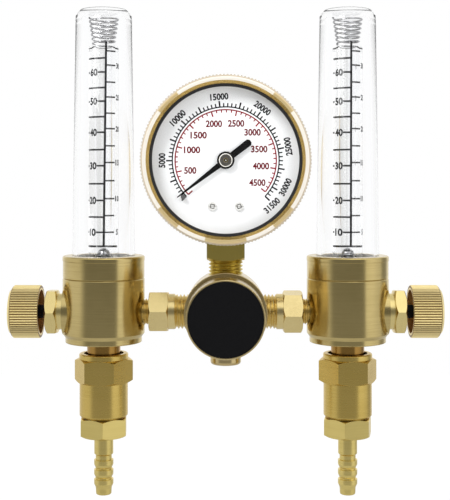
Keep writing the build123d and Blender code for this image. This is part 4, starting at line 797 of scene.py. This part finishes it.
# Width in millimetres of the small round on each piece's edges
ROUNDED = {
    "flow_body": 0.25, "tube_collar": 0.2, "valve_bonnet": 0.25, "hex_nipple": 0.25, "knob": 0.08,
    "outlet_coupler": 0.3, "hose_barb": 0.3, "regulator_body": 0.3, "bonnet_cap": 0.3,
    "bottom_plug": 0.3, "gauge_socket": 0.3, "inlet_nut": 0.3, "inlet_nipple": 0.3,
    "gauge_bezel": 0.1, "gauge_case": 0.3, "pointer": 0.06, "pointer_hub": 0.15, "dial_screws": 0.1,
}


# Crest radius and pitch of each kind of thread
WIDE_PIPE = {"radius": 6.85 * MM, "pitch": 1.41 * MM}
NARROW_PIPE = {"radius": 5.15 * MM, "pitch": 0.94 * MM}
VALVE_THREAD = {"radius": 12.25 * MM, "pitch": 1.81 * MM}


def threads_of(node):
    """The threads that show on a node, at the real pitches of these pipe and valve threads."""
    sign = SIDES.get(node.split("_", 1)[0], 1)
    on_port = (0, PORT_Y, 0)
    if node.endswith("hex_nipple"):
        wide_ends = sorted((sign * 14.5 * MM, sign * 20.25 * MM))
        narrow_ends = sorted((sign * 30.55 * MM, sign * 34 * MM))
        return [Thread(0, on_port, *wide_ends, **WIDE_PIPE), Thread(0, on_port, *narrow_ends, **NARROW_PIPE)]
    if node == "gauge_socket":
        return [Thread(2, on_port, 14.5 * MM, 20.65 * MM, **WIDE_PIPE)]
    if node == "inlet_nut":
        end = span(node, 1)[1] - 1.05 * MM
        return [Thread(1, (0, 0, 0), end - 7.9 * MM, end, **VALVE_THREAD)]
    return []


def dress_solids():
    """Every solid gets its finish. Those with edges that show are rounded copies."""
    named = {f"{side}_{name}": finish for side in SIDES for name, finish in FINISHES.items()}
    named.update(CENTRE_FINISHES)
    for node, finish in named.items():
        plain = node.split("_", 1)[1] if node.split("_", 1)[0] in SIDES else node
        if plain in ROUNDED:
            dress(node, finish, ROUNDED[plain] * MM, threads_of(node))
        else:
            mesh = frame["nodes"][node].data
            mesh.materials.clear()
            mesh.materials.append(finish)


# Studio

# How bright gloss sees each part of the room, and the plain light that all other rays see
ROOM_GLOW, PANEL_GLOW, LAMP_GLOW, CEILING_GLOW, FLOOR_GLOW = 0.2, 0.76, 1.3, 0.8, 0.6
GAP_LOSS, WINDOW_GAIN = 0.45, 0.22
PLAIN_GLOW = 0.8


def ray_kinds(shader):
    """1 on the rays that see the background, from the camera or through plastic, and 1 on gloss."""
    camera_ray, glossy, through = shader.node(
        "LightPath", None, None, ("Is Camera Ray", "Is Glossy Ray", "Is Transmission Ray"))
    return camera_ray.math("MAXIMUM", through), glossy


def studio_world():
    """White behind the object, a grey room in front of it and a soft panel at each side.

    Only gloss shows this pattern. Azimuth is 0 towards the viewer and 90 to the right.
    """
    world = bpy.data.worlds.new("studio")
    bpy.context.scene.world = world
    world.use_nodes = True
    shader = Shader(world.node_tree)
    way = shader.node("TexCoord", None, None, "Generated")
    x, y, z = shader.node("SeparateXYZ", None, {"Vector": way}, ("X", "Y", "Z"))
    azimuth = x.math("ARCTAN2", y * -1) * (180 / math.pi)
    room = shader.band(azimuth, (-68, -44), (42.5, 46))
    gap = shader.band(azimuth, (96, 110), (124, 142))
    window = shader.band(azimuth, (43, 47), (62, 95))
    behind = shader.step(azimuth.math("ABSOLUTE"), 125, 150)
    wall = PANEL_GLOW - room * (PANEL_GLOW - ROOM_GLOW) - gap * GAP_LOSS
    wall = wall + behind * (1 - PANEL_GLOW) + window * WINDOW_GAIN
    above = shader.step(z, 0.36, 0.6)
    ceiling = shader.step(y, -0.35, -0.05)
    lamp = LAMP_GLOW - ceiling * (LAMP_GLOW - CEILING_GLOW)
    lamp = lamp * (0.7 + shader.step(x, -0.05, 0.04) * 0.3)
    below = shader.step(z * -1, 0.05, 0.42)
    glow = wall * (1 - above) * (1 - below) + above * lamp + below * FLOOR_GLOW
    seen, glossy = ray_kinds(shader)
    plain = glossy * glow + (1 - glossy) * PLAIN_GLOW
    strength = seen + (1 - seen) * plain
    light = shader.node("Background", None, {"Color": (1, 1, 1), "Strength": strength})
    shader.node("OutputWorld", None, {"Surface": light})


def soft_lamp(name, place, target, size, power):
    """A square soft lamp that gloss doesn't show."""
    data = bpy.data.lights.new(name, "AREA")
    data.energy = power
    data.size = size
    lamp = bpy.data.objects.new(name, data)
    bpy.context.scene.collection.objects.link(lamp)
    lamp.location = place
    lamp.rotation_euler = (Vector(target) - Vector(place)).to_track_quat("-Z", "Y").to_euler()
    lamp.visible_glossy = False


def floor():
    """A flat pale sheet below the hose barbs. It shows white, keeps a soft shadow and lets gloss past."""
    reach, drop = 0.4, 0.03
    edge = np.array([-reach, reach])
    along, across = np.meshgrid(edge, edge)
    points = np.stack([along, across, np.full_like(along, CAD_BOX[0].z - drop)], axis=-1)
    piece = bpy.data.objects.new("studio_floor", grid_mesh("floor_sheet", points, False))
    bpy.context.scene.collection.objects.link(piece)
    made = bpy.data.materials.new("white_floor")
    made.use_nodes = True
    shader = Shader(made.node_tree)
    seen, glossy = ray_kinds(shader)
    white = shader.node("Emission", None, {"Color": (1, 1, 1), "Strength": seen * 1.05})
    matte = shader.node("BsdfDiffuse", None, {"Color": (0.9, 0.9, 0.9)})
    open_air = shader.node("BsdfTransparent")
    surface = shader.node("MixShader", None, {0: seen * 0.88, 1: matte, 2: white})
    surface = shader.node("MixShader", None, {0: glossy, 1: surface, 2: open_air})
    shader.node("OutputMaterial", None, {"Surface": surface})
    piece.data.materials.append(made)


def camera():
    """The photograph's view: level, from above the ports, with the frame shifted down."""
    data = bpy.data.cameras.new("camera")
    data.sensor_fit = "AUTO"
    data.sensor_width = 36
    data.lens = 80.2
    data.shift_x = -0.0014
    data.shift_y = -0.144
    data.clip_start, data.clip_end = 0.01, 20
    piece = bpy.data.objects.new("camera", data)
    bpy.context.scene.collection.objects.link(piece)
    distance, height = 0.445, 0.0533
    piece.location = (0, PORT_Y - distance, height)
    piece.rotation_euler = (math.pi / 2, 0, 0)
    bpy.context.scene.camera = piece


dress_solids()
for side_name in SIDES:
    tube_axis = np.array([TUBE_X[side_name], PORT_Y, 0])
    clear_cover(side_name, tube_axis)
    metering_tube(side_name, tube_axis)
    wound_spring(side_name, tube_axis)
    tube_print(side_name)
dial_print()
small_marks()
studio_world()
soft_lamp("key", (-0.35, PORT_Y - 0.5, 0.5), (0, PORT_Y, 0.04), size=0.35, power=4.0)
soft_lamp("fill", (0.4, PORT_Y - 0.5, 0.1), (0, PORT_Y, 0.02), size=0.5, power=1.5)
floor()
camera()
bpy.context.scene.view_settings.view_transform = "Standard"
